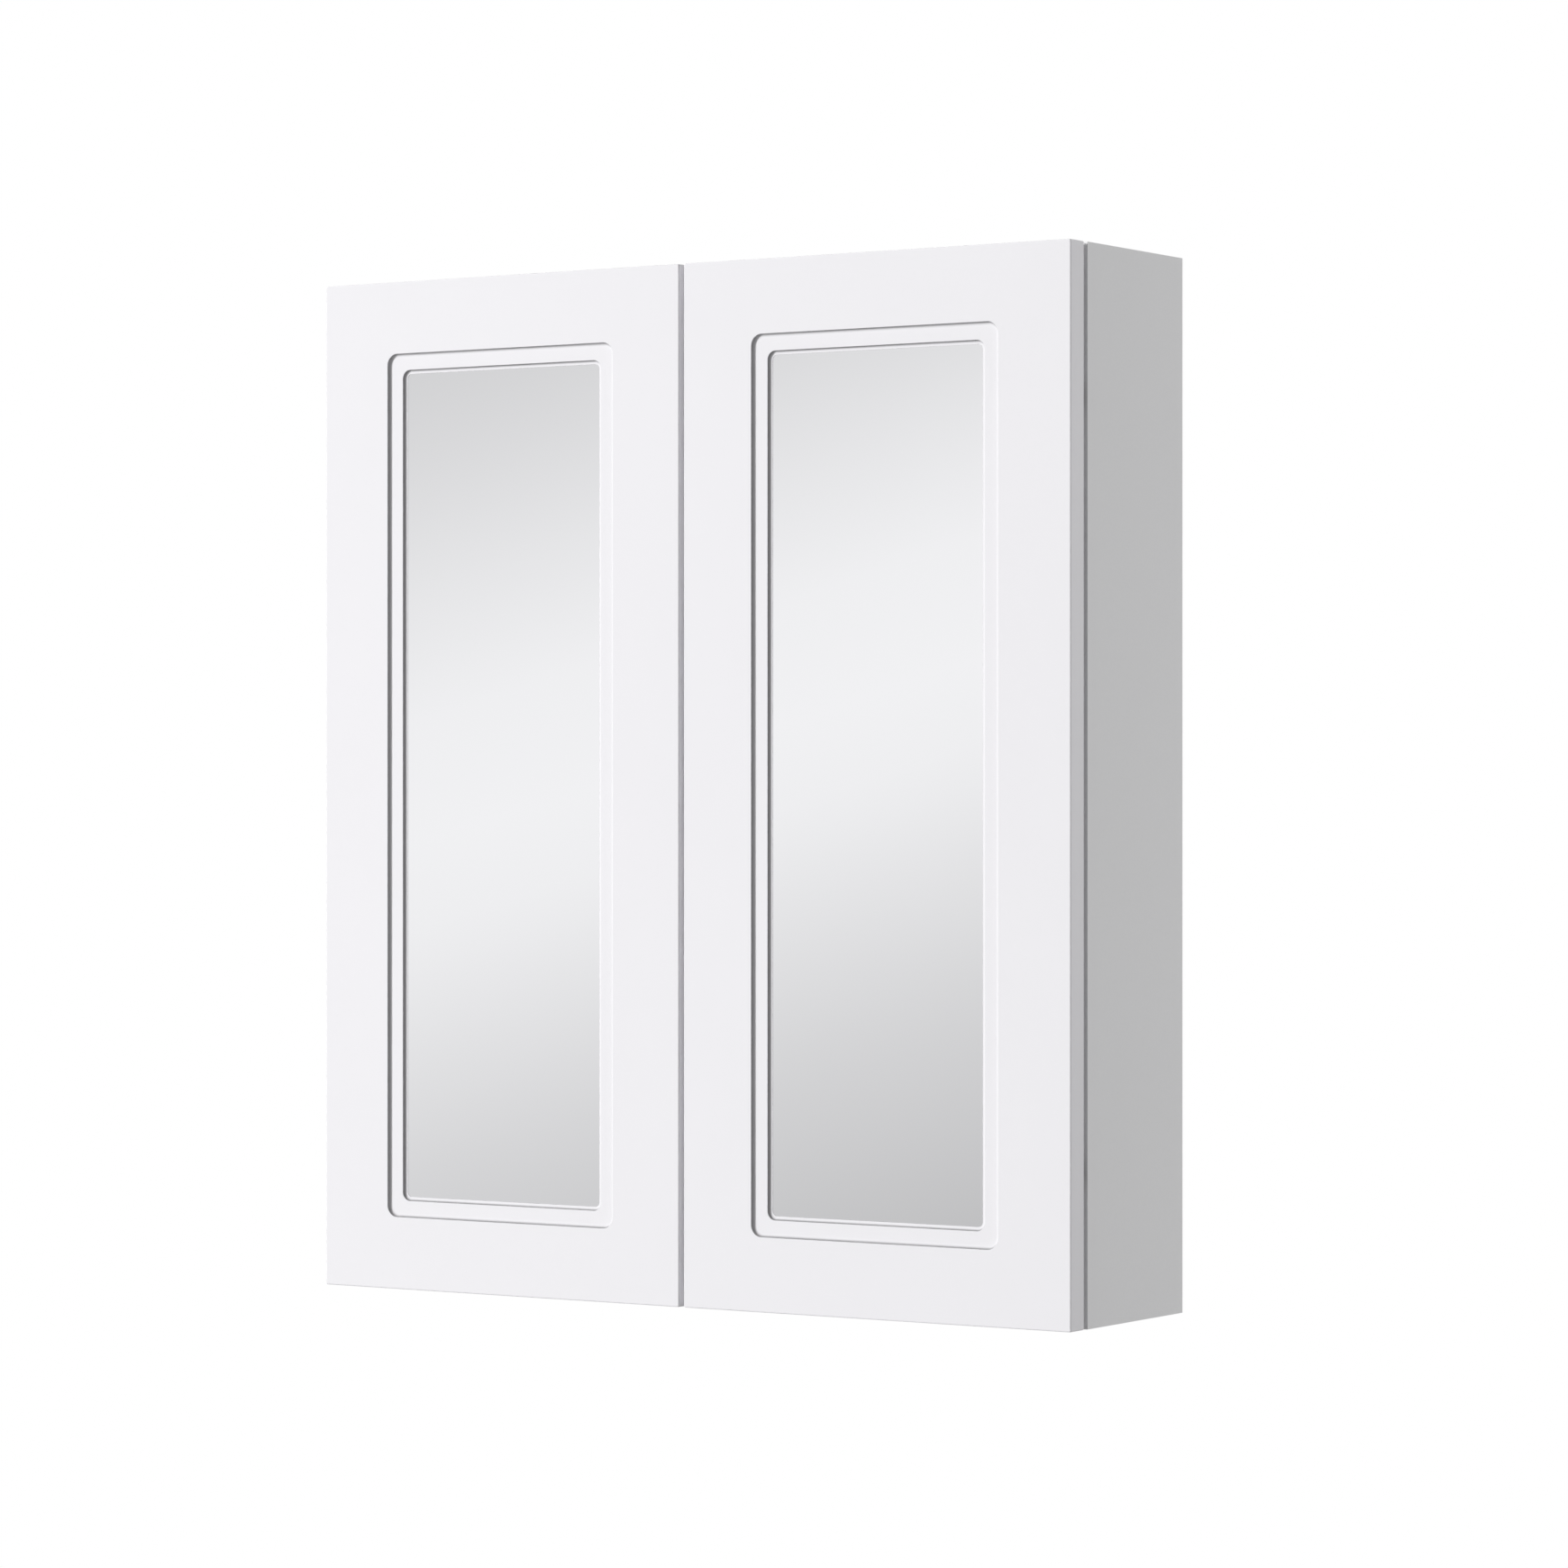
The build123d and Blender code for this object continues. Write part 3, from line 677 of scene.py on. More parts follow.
def moulded(name, code, roughness, depth=0.02):
    """Injection-moulded plastic: one colour with the fine spark-eroded texture of the mould."""
    material, tree, shader, spot = begin(name, IOR=1.5)
    texture = grain(tree, spot, 0.4, 2)
    base = colour(code)
    cloud = grain(tree, spot, 8)
    feed(tree, shader, "Base Color", blend(tree, cloud, shaded(base, 0.96), opaque(base)))
    feed(tree, shader, "Roughness", between(tree, texture, roughness * 0.85, roughness * 1.15))
    rough(tree, shader, texture, depth)
    return material


def silvered_glass(finishes):
    """Silvered float glass: an even, almost perfect reflection, slightly cool."""
    material, tree, shader, spot = begin("Silvered float glass", Metallic=1.0, Roughness=0.0)
    haze = grain(tree, spot, 120)
    silver = blend(tree, haze, shaded(finishes.silver, 0.99), opaque(finishes.silver))
    feed(tree, shader, "Base Color", silver)
    feed(tree, shader, "Roughness", between(tree, haze, 0.0, 0.012))
    return material


def backing_board():
    """Medium-density fibreboard: fine, even brown fibre."""
    material, tree, shader, spot = begin("Fibreboard, sanded", Roughness=0.8, IOR=1.5)
    fibre = grain(tree, spot, 0.9, 5, (1, 1, 2.5))
    feed(tree, shader, "Base Color", blend(tree, fibre, paint("#A07C55"), paint("#CDAE86")))
    rough(tree, shader, fibre, 0.05)
    return material


def float_glass(finishes):
    """Clear float glass: polished faces, and a faint green tint."""
    material, tree, shader, spot = begin(
        "Clear float glass, polished edges", IOR=1.52, Transmission_Weight=1.0
    )
    glass, cloud = finishes.shelf_glass, grain(tree, spot, 90)
    feed(tree, shader, "Base Color", blend(tree, cloud, shaded(glass, 0.98), opaque(glass)))
    feed(tree, shader, "Roughness", between(tree, grain(tree, spot, 30), 0.0, 0.02))
    return material


def soft_rubber():
    """Clear polyurethane: milky, soft and slightly tacky to look at."""
    name = "Clear polyurethane"
    if name in bpy.data.materials:
        return bpy.data.materials[name]
    material, tree, shader, spot = begin(name, IOR=1.5, Transmission_Weight=0.5, Roughness=0.25)
    texture = grain(tree, spot, 0.5)
    feed(tree, shader, "Base Color", blend(tree, texture, paint("#D6D8D8"), paint("#F2F4F4")))
    rough(tree, shader, texture, 0.01)
    return material


# The frame's nodes that keep their CAD shape, by the finish of each
CAD_FINISHES = {
    "faces across X": both("side_panel"),
    "faces across Z": ["top_panel", "bottom_panel"],
    "faces across Y": ["hanging_rail_top", "hanging_rail_bottom"],
    "hardboard": ["back_panel"],
    "edging": ["edge_strips"],
    "nickel": ["hinge_arms"] + both("hinge_cups") + both("hinge_pins"),
    "casting": ["cam_locks", "hinge_plates"],
    "zinc": ["shelf_pins"] + both("strike_plate"),
    "white plastic": both("latch_body"),
    "grey plastic": both("latch_plunger"),
    "rubber": ["shelf_pads"],
    "magnet": both("latch_magnet"),
    "backing": both("mirror_backing"),
    "glass": ["glass_shelf_1", "glass_shelf_2"],
}


class CABINET_OT_cad_finishes(bpy.types.Operator):
    """Gives every CAD node that keeps its shape its finish"""
    bl_idname = "mirror_cabinet.cad_finishes"
    bl_label = "Finishes of the CAD pieces"

    def execute(self, context):
        finishes = context.scene.cabinet_finishes
        made = {
            "faces across X": melamine_board(finishes, 0),
            "faces across Z": melamine_board(finishes, 2),
            "faces across Y": melamine_board(finishes, 1),
            "hardboard": hardboard(),
            "edging": edging(),
            "nickel": plated("Pressed steel, nickel plated", list(finishes.nickel), 0.22, 0.8),
            "casting": plated(
                "Zinc die casting, nickel plated", shade(finishes.nickel, 0.9), 0.36, 0.6,
                depth=0.02,
            ),
            "zinc": bright_zinc(finishes),
            "white plastic": moulded("Polyamide, moulded white", "#EDEDEB", 0.42),
            "grey plastic": moulded("Acetal, moulded light grey", "#B9BBBD", 0.38),
            "rubber": soft_rubber(),
            "magnet": plated("Sintered magnet, nickel plated", colour("#BDBBB8"), 0.25, 0.6),
            "backing": backing_board(),
            "glass": float_glass(finishes),
        }
        for name, nodes in CAD_FINISHES.items():
            for node in nodes:
                finish(node, made[name])
        return {"FINISHED"}


# Doors

def arc(inset, height, radius, start, end, steps=6):
    """Points of an arc in a section, as (inset, height), from one angle to another."""
    turns = [math.radians(start + (end - start) * step / steps) for step in range(steps + 1)]
    return [(inset + radius * math.cos(turn), height + radius * math.sin(turn)) for turn in turns]


def section(line, points):
    """Stations round a line, each inset from it: (half width, half height, corner, height)."""
    half_width, half_height, corner = line
    return [
        (half_width - inset, half_height - inset, max(corner - inset, 0.3 * MM), height)
        for inset, height in points
    ]


def with_supports(stations, gap=0.15 * MM):
    """Adds a station near each end of long flat runs, so that smooth edges leave them flat."""
    result = []
    for index, here in enumerate(stations):
        following = stations[(index + 1) % len(stations)]
        result.append(here)
        run = max(abs(a - b) for a, b in zip(here, following))
        if run > 8 * gap:
            for share in (gap / run, 1 - gap / run):
                result.append(tuple(a + (b - a) * share for a, b in zip(here, following)))
    return result


def door_section(sizes, node):
    """The closed section of a door frame, from its back edge over the moulding to the rebate."""
    low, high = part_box(node)
    front, back = -low.y, -high.y
    pane_low, pane_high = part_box(node.replace("door_frame", "mirror_pane"))
    shoulder = -pane_low.y
    edge = ((high.x - low.x) / 2, (high.z - low.z) / 2, 1 * MM)
    outer = (sizes.outer_line[0] / 2, sizes.outer_line[1] / 2, sizes.outer_corner)
    inner = (outer[0] - sizes.band, outer[1] - sizes.band, sizes.inner_corner)
    opening = (inner[0] - sizes.lip, inner[1] - sizes.lip, sizes.inner_corner - sizes.lip)
    fit = sizes.rebate_fit
    rebate = ((pane_high.x - pane_low.x) / 2 + fit, (pane_high.z - pane_low.z) / 2 + fit, 3 * MM)
    eased, nose, chamfer = sizes.eased, sizes.front_round, sizes.back_chamfer
    band, ledge = front - sizes.outer_step, front - sizes.outer_step - sizes.inner_step
    stations = section(edge, [(chamfer, back), (0, back + chamfer)])
    stations += section(edge, arc(nose, front - nose, nose, 180, 90))
    for line, top, foot in ((outer, front, band), (inner, band, ledge)):
        # The cutter's flank leans a little, and its tip leaves a cove at the foot
        stations += section(line, arc(-eased, top - eased, eased, 90, 8))
        cove = (top - foot) * 0.87
        lean = math.radians(8)
        start = (top - foot - cove * (1 - math.sin(lean))) * math.tan(lean)
        middle = start + cove * math.cos(lean)
        stations += section(line, arc(middle, foot + cove, cove, 180 + 8, 270, 12))
    stations += section(opening, arc(-eased / 3, ledge - eased / 3, eased / 3, 90, 0, 4))
    stations += section(opening, [(0, shoulder)])
    stations += section(rebate, [(0, shoulder), (0, back)])
    return with_supports(stations)


# Holes in the back of a door, by the pieces that sit in them: the radius, and how far the hole goes
# in front of the piece, in millimetres
DOOR_HOLES = {
    "hinge_cups_": (17.65, 0.15),
    "cup_screws_": (1.85, 1),
    "clip_screws_": (1.45, 1),
    "strike_screws_": (1.35, 1),
}
# From the middle of a cup's bore to the edge of its rim nearest the side panel
CUP_RIM = 18.2 * MM
# Holes with a larger radius get more edges
BIG_HOLE = 5 * MM


class CABINET_OT_door_frames(bpy.types.Operator):
    """Makes the wrapped door frames, with their moulding, rebate, cup bores and screw holes"""
    bl_idname = "mirror_cabinet.door_frames"
    bl_label = "Door frames"

    def execute(self, context):
        sizes = context.scene.cabinet_door
        wrap = vinyl_wrap(context.scene.cabinet_finishes)
        for side in SIDES:
            node = "door_frame_" + side
            name = "wrapped_door_" + side
            door = lofted(name, door_section(sizes, node), wrap, True, sizes.corner_steps)
            middle = middle_of(node)
            placed(door, Matrix.Translation((middle.x, 0, middle.z)) @ FACING_ROOM)
            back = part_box(node)[1].y
            for cut_by, (radius, clearance) in DOOR_HOLES.items():
                radius *= MM
                cuts = []
                for low, high in solids(cut_by + side):
                    centre = (low + high) / 2
                    if cut_by == "hinge_cups_":
                        centre.x = high.x - CUP_RIM if side == "right" else low.x + CUP_RIM
                    cuts.append(((centre.x, 0, centre.z), (math.radians(90), 0, 0)))
                ends = [(radius, -back - 1 * MM), (radius, -low.y + clearance * MM)]
                hole = turned(name + "_hole", ends, wrap, 12 if radius > BIG_HOLE else 5)
                door = without(door, repeated(name + "_holes", hole, cuts, wrap))
            fitted(door, "door_" + side, "vinyl_wrap", node)
        return {"FINISHED"}


class CABINET_OT_mirrors(bpy.types.Operator):
    """Makes the mirror panes, with ground edges"""
    bl_idname = "mirror_cabinet.mirrors"
    bl_label = "Mirrors"

    def execute(self, context):
        silver = silvered_glass(context.scene.cabinet_finishes)
        for side in SIDES:
            node = "mirror_pane_" + side
            low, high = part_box(node)
            line = ((high.x - low.x) / 2, (high.z - low.z) / 2, 4 * MM)
            ground = 0.5 * MM
            points = [
                (ground, -high.y), (0, -high.y + ground), (0, -low.y - ground), (ground, -low.y)
            ]
            pane = lofted("mirror_" + side, section(line, points), silver)
            middle = middle_of(node)
            placed(pane, Matrix.Translation((middle.x, 0, middle.z)) @ FACING_ROOM)
            fitted(pane, "door_" + side, "mirror", node)
        return {"FINISHED"}


# Hardware

TOWARDS = {
    "wall": (math.radians(-90), 0, 0),
    "left": (0, math.radians(-90), 0),
    "right": (0, math.radians(90), 0),
    "floor": (math.radians(180), 0, 0),
    "ceiling": (0, 0, 0),
}


def inward(box):
    """The way from a side panel to the middle of the cabinet."""
    return "left" if box[0].x > 0 else "right"


def centre_of(box):
    return tuple((box[0] + box[1]) / 2)


def towards(way, boxes):
    """The middle of each box, with the turn that faces one way."""
    return [(centre_of(box), TOWARDS[way]) for box in boxes]


def span(box, axis):
    return getattr(box[1], axis) - getattr(box[0], axis)


def cross_cutter(name, span, width, top, depth):
    """A cross that narrows downwards, which cuts the recess in a screw's head."""
    far, near = span / 2, width / 2
    outline = [(far, near), (near, near), (near, far), (-near, far), (-near, near), (-far, near)]
    outline += [(-x, -y) for x, y in outline]
    skin = bmesh.new()
    rings = []
    for height, share in ((top, 1), (top - depth, 0.55)):
        rings.append([skin.verts.new((x * share, y * share, height)) for x, y in outline])
    for index in range(len(outline)):
        following = (index + 1) % len(outline)
        skin.faces.new((rings[0][index], rings[0][following], rings[1][following], rings[1][index]))
    skin.faces.new(rings[0])
    skin.faces.new(rings[1])
    bmesh.ops.recalc_face_normals(skin, faces=skin.faces)
    mesh = bpy.data.meshes.new(name)
    skin.to_mesh(mesh)
    skin.free()
    cutter = bpy.data.objects.new(name, mesh)
    bpy.context.scene.collection.objects.link(cutter)
    return cutter


def threaded_shank(name, radius, top, length, pitch, depth, material, pointed):
    """A bar with a helical thread, which stops short of its head."""
    neck = 0.6 * MM
    steps = round(length / pitch * 5)
    outline = [(radius, top)]
    relief = [0.0]
    for step in range(steps + 1):
        share = step / steps
        taper = min(1.0, (1 - share) * length / (2.2 * radius)) if pointed else 1.0
        place = top - neck - (length - neck) * share
        outline.append((max(radius * taper, 0.12 * MM), place))
        relief.append(depth * min(1.0, taper * 1.2) if 0.03 < share < 0.995 else 0.0)
    return turned(name, outline, material, 5, ribs=(-1.0, -1 / pitch), relief=relief)


def screw(name, sizes, hardware, material, pointed=True):
    """A pan-head screw with a cross recess. The underside of its head is at the origin."""
    head_radius, head_height, radius, length = [value * MM for value in sizes]
    dome = [(head_radius * 0.3, head_height), (head_radius * 0.55, head_height * 0.98)]
    dome += [
        (head_radius * (0.62 + 0.38 * math.sin(turn)), head_height * (0.35 + 0.62 * math.cos(turn)))
        for turn in (math.radians(angle) for angle in (12, 30, 48, 66, 80, 90))
    ]
    foot = [(radius * 0.6, 0), (head_radius * 0.96, 0), (head_radius, 0.08 * head_height)]
    head = turned(name + "_head", foot + dome[::-1], material, 8)
    cross = cross_cutter(
        name + "_cross", head_radius * 1.15, head_radius * 0.28, head_height * 1.05,
        head_height * 0.75,
    )
    head = without(head, cross)
    depth = hardware.thread_depth * min(1.0, radius / (1.9 * MM))
    shank = threaded_shank(
        name + "_shank", radius, 0.02 * MM, length, hardware.thread_pitch, depth, material, pointed
    )
    return joined([head, shank])


# Head radius and height, shank radius and length in millimetres, the way that the head faces, and
# the body of each group of screws. None faces the middle of the cabinet
SCREWS = {
    stem + side: (sizes, "wall", "door_" + side)
    for stem, sizes in (
        ("clip_screws_", (2.8, 1.8, 1.4, 11)),
        ("cup_screws_", (3.5, 2, 1.8, 12)),
        ("strike_screws_", (2.6, 0.8, 1.3, 10)),
    )
    for side in SIDES
}
SCREWS["latch_screws"] = ((3, 2, 1.5, 11), "floor", "carcass")
SCREWS["plate_screws"] = ((4.2, 2.2, 2.45, 11), None, "carcass")
SCREWS["arm_screws"] = ((3.4, 1.8, 1.9, 7), None, "carcass")


class CABINET_OT_screws(bpy.types.Operator):
    """Makes every screw, with its thread and cross recess"""
    bl_idname = "mirror_cabinet.screws"
    bl_label = "Screws"

    def execute(self, context):
        hardware = context.scene.cabinet_hardware
        zinc = bright_zinc(context.scene.cabinet_finishes)
        for node, (sizes, facing, body) in SCREWS.items():
            head = sizes[1] * MM
            places = []
            for box in solids(node):
                way = facing or inward(box)
                spot = Vector(centre_of(box))
                axis, end, sign = {
                    "wall": (1, box[1].y, -1), "floor": (2, box[0].z, 1),
                    "left": (0, box[0].x, 1), "right": (0, box[1].x, -1),
                }[way]
                spot[axis] = end + sign * head
                places.append((tuple(spot), TOWARDS[way]))
            one = screw(node + "_one", sizes, hardware, zinc, node != "arm_screws")
            fitted(repeated("threaded_" + node, one, places, zinc), body, "zinc_steel", node)
        return {"FINISHED"}


class CABINET_OT_dowels_and_bolts(bpy.types.Operator):
    """Makes the fluted dowels, the cam bolts and the caps over the cam locks"""
    bl_idname = "mirror_cabinet.dowels_and_bolts"
    bl_label = "Dowels, cam bolts and caps"

    def execute(self, context):
        hardware = context.scene.cabinet_hardware
        wood, zinc = beech(), bright_zinc(context.scene.cabinet_finishes)
        white = moulded("Polyethylene, moulded white", "#F1F1F0", 0.38)
        groups = {}
        for box in solids("dowels"):
            groups.setdefault(round(span(box, "z") / 2, 4), []).append(box)
        pegs = []
        for radius, boxes in groups.items():
            half = span(boxes[0], "x") / 2
            chamfer, depth = radius * 0.25, hardware.flute_depth
            outline = [
                (radius - chamfer, half), (radius, half - chamfer), (radius, chamfer - half),
                (radius - chamfer, -half),
            ]
            peg = turned(
                "dowel", outline, wood, 20, ribs=(float(hardware.flutes), 0.0),
                relief=[0.0, depth, depth, 0.0]
            )
            pegs.append(repeated("dowel_group", peg, towards("right", boxes), wood))
        dowels = joined(pegs)
        dowels.name = "fluted_dowels"
        fitted(dowels, "carcass", "beech", "dowels")

        boxes = solids("cam_bolts")
        long = span(boxes[0], "x")
        head = long / 2
        thread_top = -long / 2 + 10 * MM
        bar = turned("cam_bolt_bar", [
            (2.2 * MM, head), (3 * MM, head - 0.6 * MM), (3 * MM, head - 2.4 * MM),
            (1.6 * MM, head - 3 * MM), (1.6 * MM, thread_top + 1.5 * MM),
            (3.6 * MM, thread_top + 1.5 * MM), (3.6 * MM, thread_top + 0.3 * MM),
            (3.3 * MM, thread_top), (1.5 * MM, thread_top),
        ], zinc, 6)
        shank = threaded_shank(
            "cam_bolt_shank", 2.4 * MM, thread_top + 0.02 * MM, 10 * MM, 1.6 * MM, 0.5 * MM, zinc,
            False
        )
        places = [(centre_of(box), TOWARDS[inward(box)]) for box in boxes]
        bolts = repeated("threaded_cam_bolts", joined([bar, shank]), places, zinc)
        fitted(bolts, "carcass", "zinc_steel", "cam_bolts")

        boxes = solids("cam_covers")
        half = span(boxes[0], "z") / 2
        radius = span(boxes[0], "x") / 2
        cap = turned("cap", [
            (radius * 0.5, half), (radius - 1.2 * MM, half - 0.05 * MM),
            (radius - 0.35 * MM, half - 0.2 * MM), (radius, half - 0.5 * MM), (radius, -half),
        ], white, 12)
        places = [
            (centre_of(box), TOWARDS["ceiling" if box[0].z > 0 else "floor"]) for box in boxes
        ]
        fitted(repeated("cam_caps", cap, places, white), "carcass", "white_plastic", "cam_covers")
        return {"FINISHED"}


class CABINET_OT_clips_and_buffers(bpy.types.Operator):
    """Makes the turn clips that hold the mirrors, and the clear buffers"""
    bl_idname = "mirror_cabinet.clips_and_buffers"
    bl_label = "Mirror clips and buffers"

    def execute(self, context):
        white = moulded("Acetal, moulded white", "#EFEFED", 0.4)
        clear = soft_rubber()
        for side in SIDES:
            boxes = solids("mirror_clips_" + side)
            half = span(boxes[0], "y") / 2
            long = max(span(boxes[0], "x"), span(boxes[0], "z"))
            line = (long / 2, 7 * MM, 3 * MM)
            edge = 0.3 * MM
            rim = [(edge, half), (0, half - edge), (0, edge - half), (edge, -half)]
            clip = lofted("clip", section(line, rim), white, steps=6)
            places = []
            for box in boxes:
                upright = span(box, "z") > span(box, "x")
                spin = math.radians(90) if upright else 0
                places.append((centre_of(box), (math.radians(-90), spin, 0)))
            clips = repeated("turn_clips_" + side, clip, places, white)
            fitted(clips, "door_" + side, "white_plastic", "mirror_clips_" + side)

            boxes = solids("door_buffers_" + side)
            radius, high = span(boxes[0], "x") / 2, span(boxes[0], "y")
            foot = 0.1 * MM
            dome = [(radius, -high / 2), (radius, -high / 2 + foot)]
            for step in range(1, 7):
                turn = math.radians(90 * step / 7)
                rise = (high - foot) * math.sin(turn)
                dome.append((radius * math.cos(turn), -high / 2 + foot + rise))
            dot = turned("dot", dome, clear, 8)
            dots = repeated("clear_dots_" + side, dot, towards("wall", boxes), clear)
            fitted(dots, "door_" + side, "clear_rubber", "door_buffers_" + side)
        return {"FINISHED"}


class CABINET_OT_springs(bpy.types.Operator):
    """Makes the coil springs in the latches"""
    bl_idname = "mirror_cabinet.springs"
    bl_label = "Latch springs"

    def execute(self, context):
        hardware = context.scene.cabinet_hardware
        steel = plated("Spring steel, drawn wire", colour("#A9A8A6"), 0.28, 0.3)
        boxes = solids("latch_springs")
        long = span(boxes[0], "y") - 2 * hardware.spring_wire
        radius = span(boxes[0], "x") / 2 - hardware.spring_wire
        coil = grown("coil", points_mesh("coil", []), tree_named("Coil spring", coil_tree), {
            "Turns": hardware.spring_turns, "Radius": radius, "Height": long,
            "Wire": hardware.spring_wire, "Material": steel,
        })
        tidy(placed(coil, Matrix.Translation((0, 0, -long / 2))))
        springs = repeated("coil_springs", coil, towards("wall", boxes), steel)
        fitted(springs, "carcass", "spring_steel", "latch_springs")
        return {"FINISHED"}


# Studio

def world_light(studio):
    """A white backdrop for the camera, a soft ambient light, and a banded sky for the mirrors:
    brightest at eye level and greyer above and below, as a long soft box gives."""
    world = bpy.data.worlds.new("Studio")
    bpy.context.scene.world = world
    world.use_nodes = True
    tree = world.node_tree
    tree.nodes.clear()
    way = add(
        tree, "ShaderNodeSeparateXYZ", None,
        {0: add(tree, "ShaderNodeTexCoord").outputs["Generated"]},
    )
    # The band lies slightly aslant: it drops towards the left
    across = add(
        tree, "ShaderNodeMapRange", None,
        {0: way.outputs[0], 1: -0.66, 2: -0.46, 3: -0.036, 4: 0.043},
    )
    height = maths(tree, "SUBTRACT", way.outputs[2], across)
    ramp = add(tree, "ShaderNodeValToRGB", None, {0: maths(tree, "MULTIPLY_ADD", height, 0.5, 0.5)})
    stops = (
        (-1.0, 0.55), (-0.3, 0.36), (-0.14, 0.46), (-0.1, 0.59), (-0.066, 0.70), (-0.040, 0.815),
        (-0.018, 0.915), (0.0, 0.94), (0.024, 0.925), (0.046, 0.85), (0.070, 0.755), (0.1, 0.65),
        (0.16, 0.55), (0.4, 0.6), (1.0, 0.9),
    )
    points = ramp.color_ramp.elements
    points[0].position, points[0].color = (stops[0][0] + 1) / 2, (*[stops[0][1]] * 3, 1)
    points[1].position, points[1].color = (stops[-1][0] + 1) / 2, (*[stops[-1][1]] * 3, 1)
    for place, level in stops[1:-1]:
        point = points.new((place + 1) / 2)
        point.color = (level, level, level, 1)
    rays = add(tree, "ShaderNodeLightPath")
    # The ambient light comes mostly from round the horizon, so that ledges and coves stand out
    upright = maths(tree, "ABSOLUTE", way.outputs[2])
    level = add(
        tree, "ShaderNodeMapRange", None,
        {0: upright, 1: 0.0, 2: 0.8, 3: studio.ambient * 1.5, 4: studio.ambient * 0.4},
    )
    soft = add(tree, "ShaderNodeBackground", None, {0: paint("#FFFFFF"), 1: level})
    sky = add(tree, "ShaderNodeBackground", None, {0: ramp, 1: 1.0})
    white = add(tree, "ShaderNodeBackground", None, {0: paint("#FFFFFF"), 1: 1.0})
    seen = maths(
        tree, "MAXIMUM", rays.outputs["Is Camera Ray"], rays.outputs["Is Transmission Ray"]
    )
    glossy = add(
        tree, "ShaderNodeMixShader", None, {0: rays.outputs["Is Glossy Ray"], 1: soft, 2: sky}
    )
    mixed = add(tree, "ShaderNodeMixShader", None, {0: seen, 1: glossy, 2: white})
    add(tree, "ShaderNodeOutputWorld", None, {0: mixed})


def lamp(name, place, target, size, power):
    """A soft box that looks at a target, and that no reflection shows."""
    data = bpy.data.lights.new(name, "AREA")
    data.shape = "RECTANGLE"
    data.size, data.size_y = size
    data.energy = power
    made = bpy.data.objects.new(name, data)
    bpy.context.scene.collection.objects.link(made)
    made.location = place
    made.rotation_euler = (Vector(target) - Vector(place)).to_track_quat("-Z", "Y").to_euler()
    made.visible_glossy = False


# Where each lamp stands, what it looks at, and its size
LAMPS = {
    "key": ((-8.6, -10.9, 3.2), (0, -0.1, 0), (3.2, 2.4)),
    "back": ((0.6, 5.5, 1.6), (0, 0, 0), (2.0, 2.0)),
    "top": ((0, 0.1, 3.2), (0, 0, 0), (1.2, 0.8)),
    "side": ((3.0, 0.9, 0.2), (0.3, -0.05, 0), (1.0, 1.6)),
}


class CABINET_OT_studio(bpy.types.Operator):
    """Sets up the lamps, the backdrop and the camera"""
    bl_idname = "mirror_cabinet.studio"
    bl_label = "Studio"

    def execute(self, context):
        studio = context.scene.cabinet_studio
        world_light(studio)
        for name, (place, target, size) in LAMPS.items():
            lamp(name + "_lamp", place, target, size, getattr(studio, name + "_power"))
        data = bpy.data.cameras.new("camera")
        data.lens = studio.lens
        data.sensor_width = 36
        data.clip_end = 100
        camera = bpy.data.objects.new("camera", data)
        context.scene.collection.objects.link(camera)
        camera.location = studio.place
        camera.rotation_euler = (math.radians(90), 0, studio.yaw)
        context.scene.camera = camera
        context.scene.view_settings.view_transform = "Standard"
        flag()
        return {"FINISHED"}


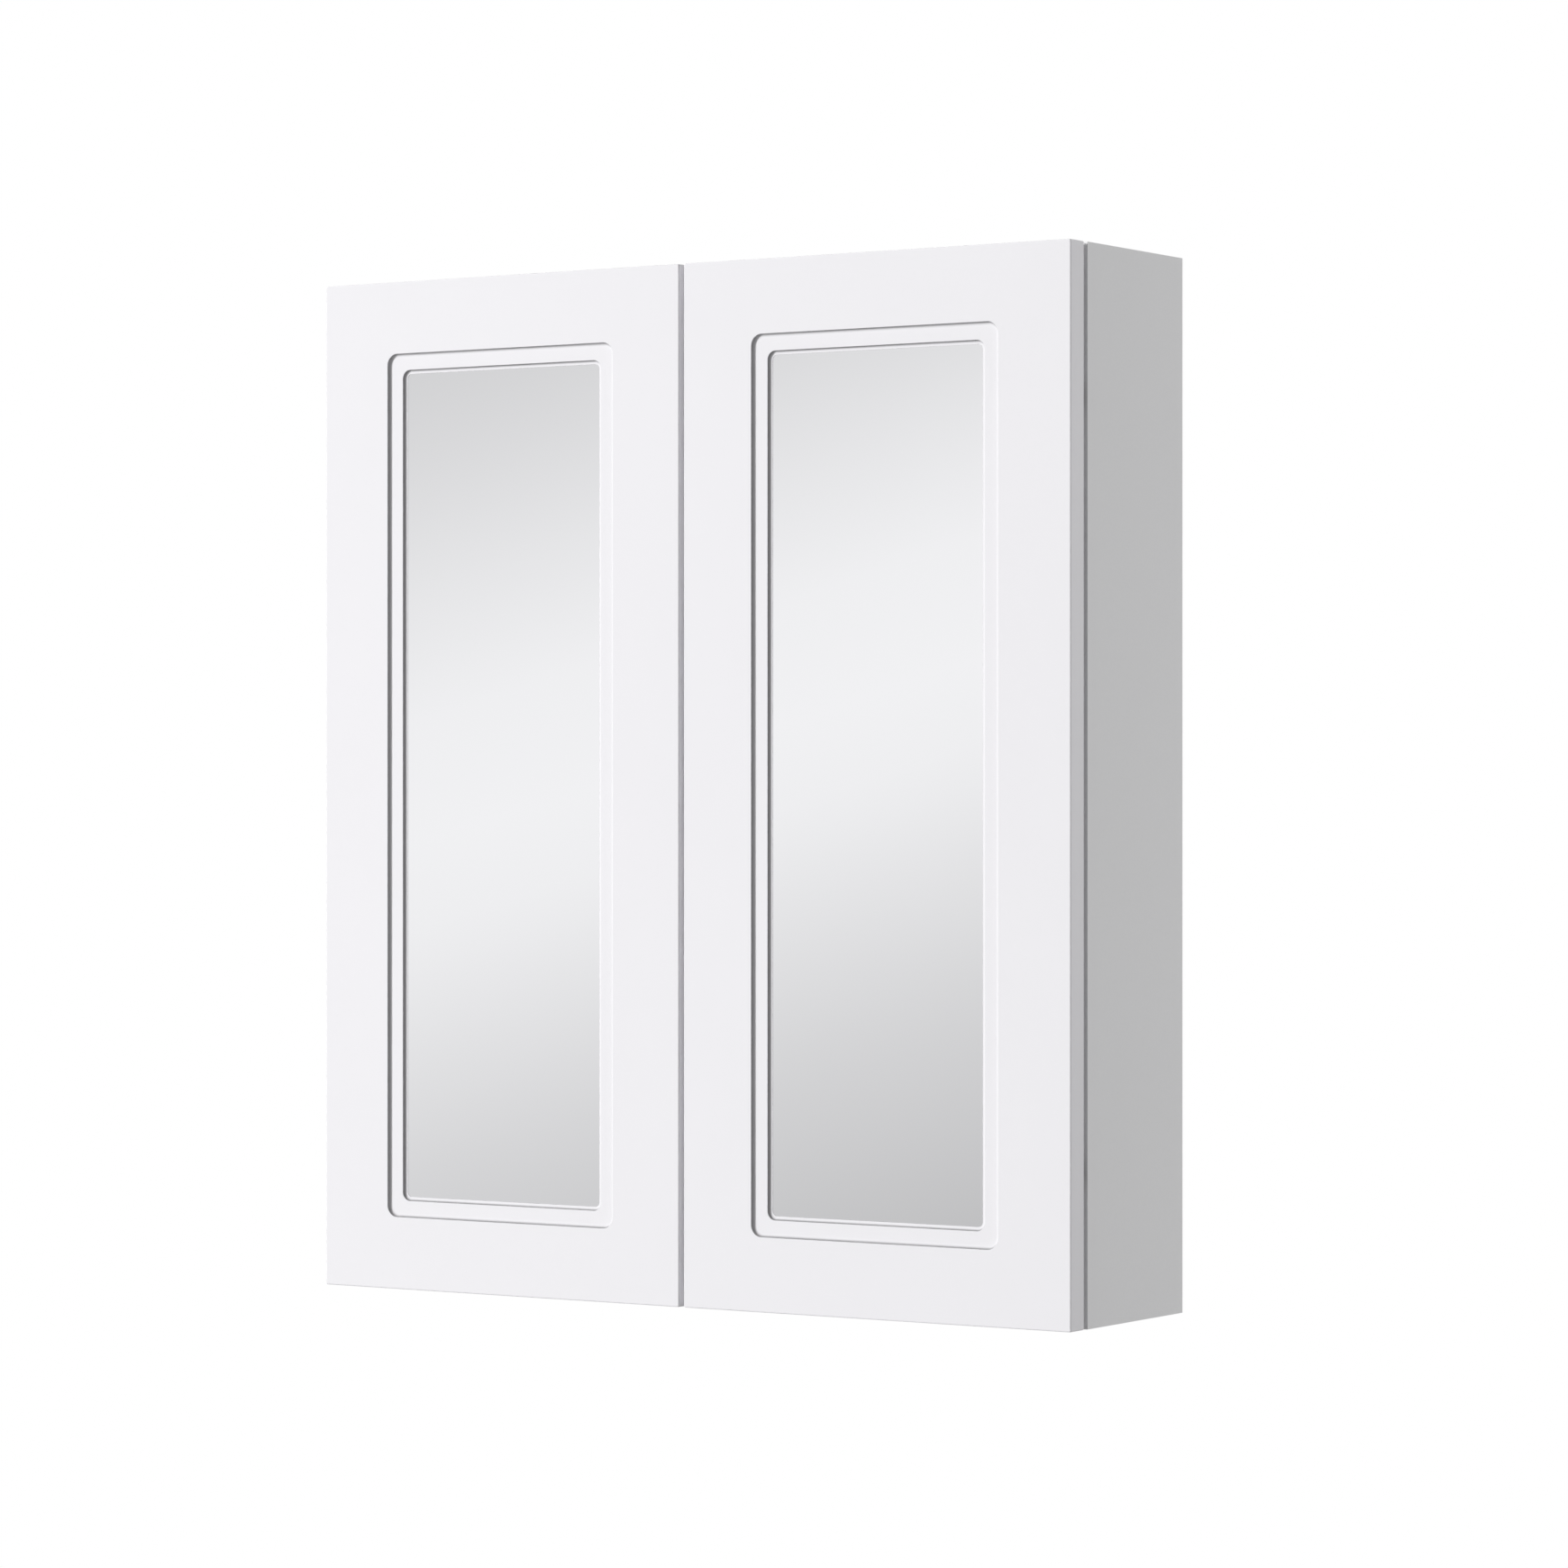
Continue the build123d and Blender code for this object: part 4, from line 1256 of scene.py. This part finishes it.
def flag():
    """A round grey board below the cabinet, out of sight, which keeps the light off the ledges."""
    disc = bmesh.new()
    bmesh.ops.create_circle(disc, cap_ends=True, segments=96, radius=3)
    mesh = bpy.data.meshes.new("flag")
    disc.to_mesh(mesh)
    disc.free()
    mesh.transform(Matrix.Translation((0, -0.3, -1.25)))
    board = bpy.data.objects.new("flag", mesh)
    bpy.context.scene.collection.objects.link(board)
    material, tree, shader, spot = begin(
        "Studio board, matt grey", Roughness=0.9, Specular_IOR_Level=0.0
    )
    tone = blend(tree, grain(tree, spot, 300), paint("#9E9E9E"), paint("#A2A2A2"))
    feed(tree, shader, "Base Color", tone)
    mesh.materials.append(material)
    board.visible_camera = board.visible_glossy = board.visible_transmission = False


STEPS = (
    "cad_finishes", "door_frames", "mirrors", "screws", "dowels_and_bolts", "clips_and_buffers",
    "springs", "studio",
)


class CABINET_PT_sidebar(bpy.types.Panel):
    """Lists the pieces of the cabinet"""
    bl_idname = "CABINET_PT_sidebar"
    bl_label = "Mirror cabinet"
    bl_space_type = "VIEW_3D"
    bl_region_type = "UI"
    bl_category = "Mirror cabinet"

    def draw(self, context):
        for step in STEPS:
            self.layout.operator("mirror_cabinet." + step)


GROUPS = {
    "cabinet_door": DoorSizes, "cabinet_hardware": HardwareSizes, "cabinet_finishes": Finishes,
    "cabinet_studio": Studio,
}
CLASSES = (
    *GROUPS.values(),
    CABINET_OT_cad_finishes,
    CABINET_OT_door_frames,
    CABINET_OT_mirrors,
    CABINET_OT_screws,
    CABINET_OT_dowels_and_bolts,
    CABINET_OT_clips_and_buffers,
    CABINET_OT_springs,
    CABINET_OT_studio,
    CABINET_PT_sidebar,
)


def register():
    for kind in CLASSES:
        bpy.utils.register_class(kind)
    for name, kind in GROUPS.items():
        setattr(bpy.types.Scene, name, PointerProperty(type=kind))


def unregister():
    for name in GROUPS:
        delattr(bpy.types.Scene, name)
    for kind in reversed(CLASSES):
        bpy.utils.unregister_class(kind)


def main():
    register()
    for step in STEPS:
        getattr(bpy.ops.mirror_cabinet, step)()


if __name__ == "__main__":
    main()
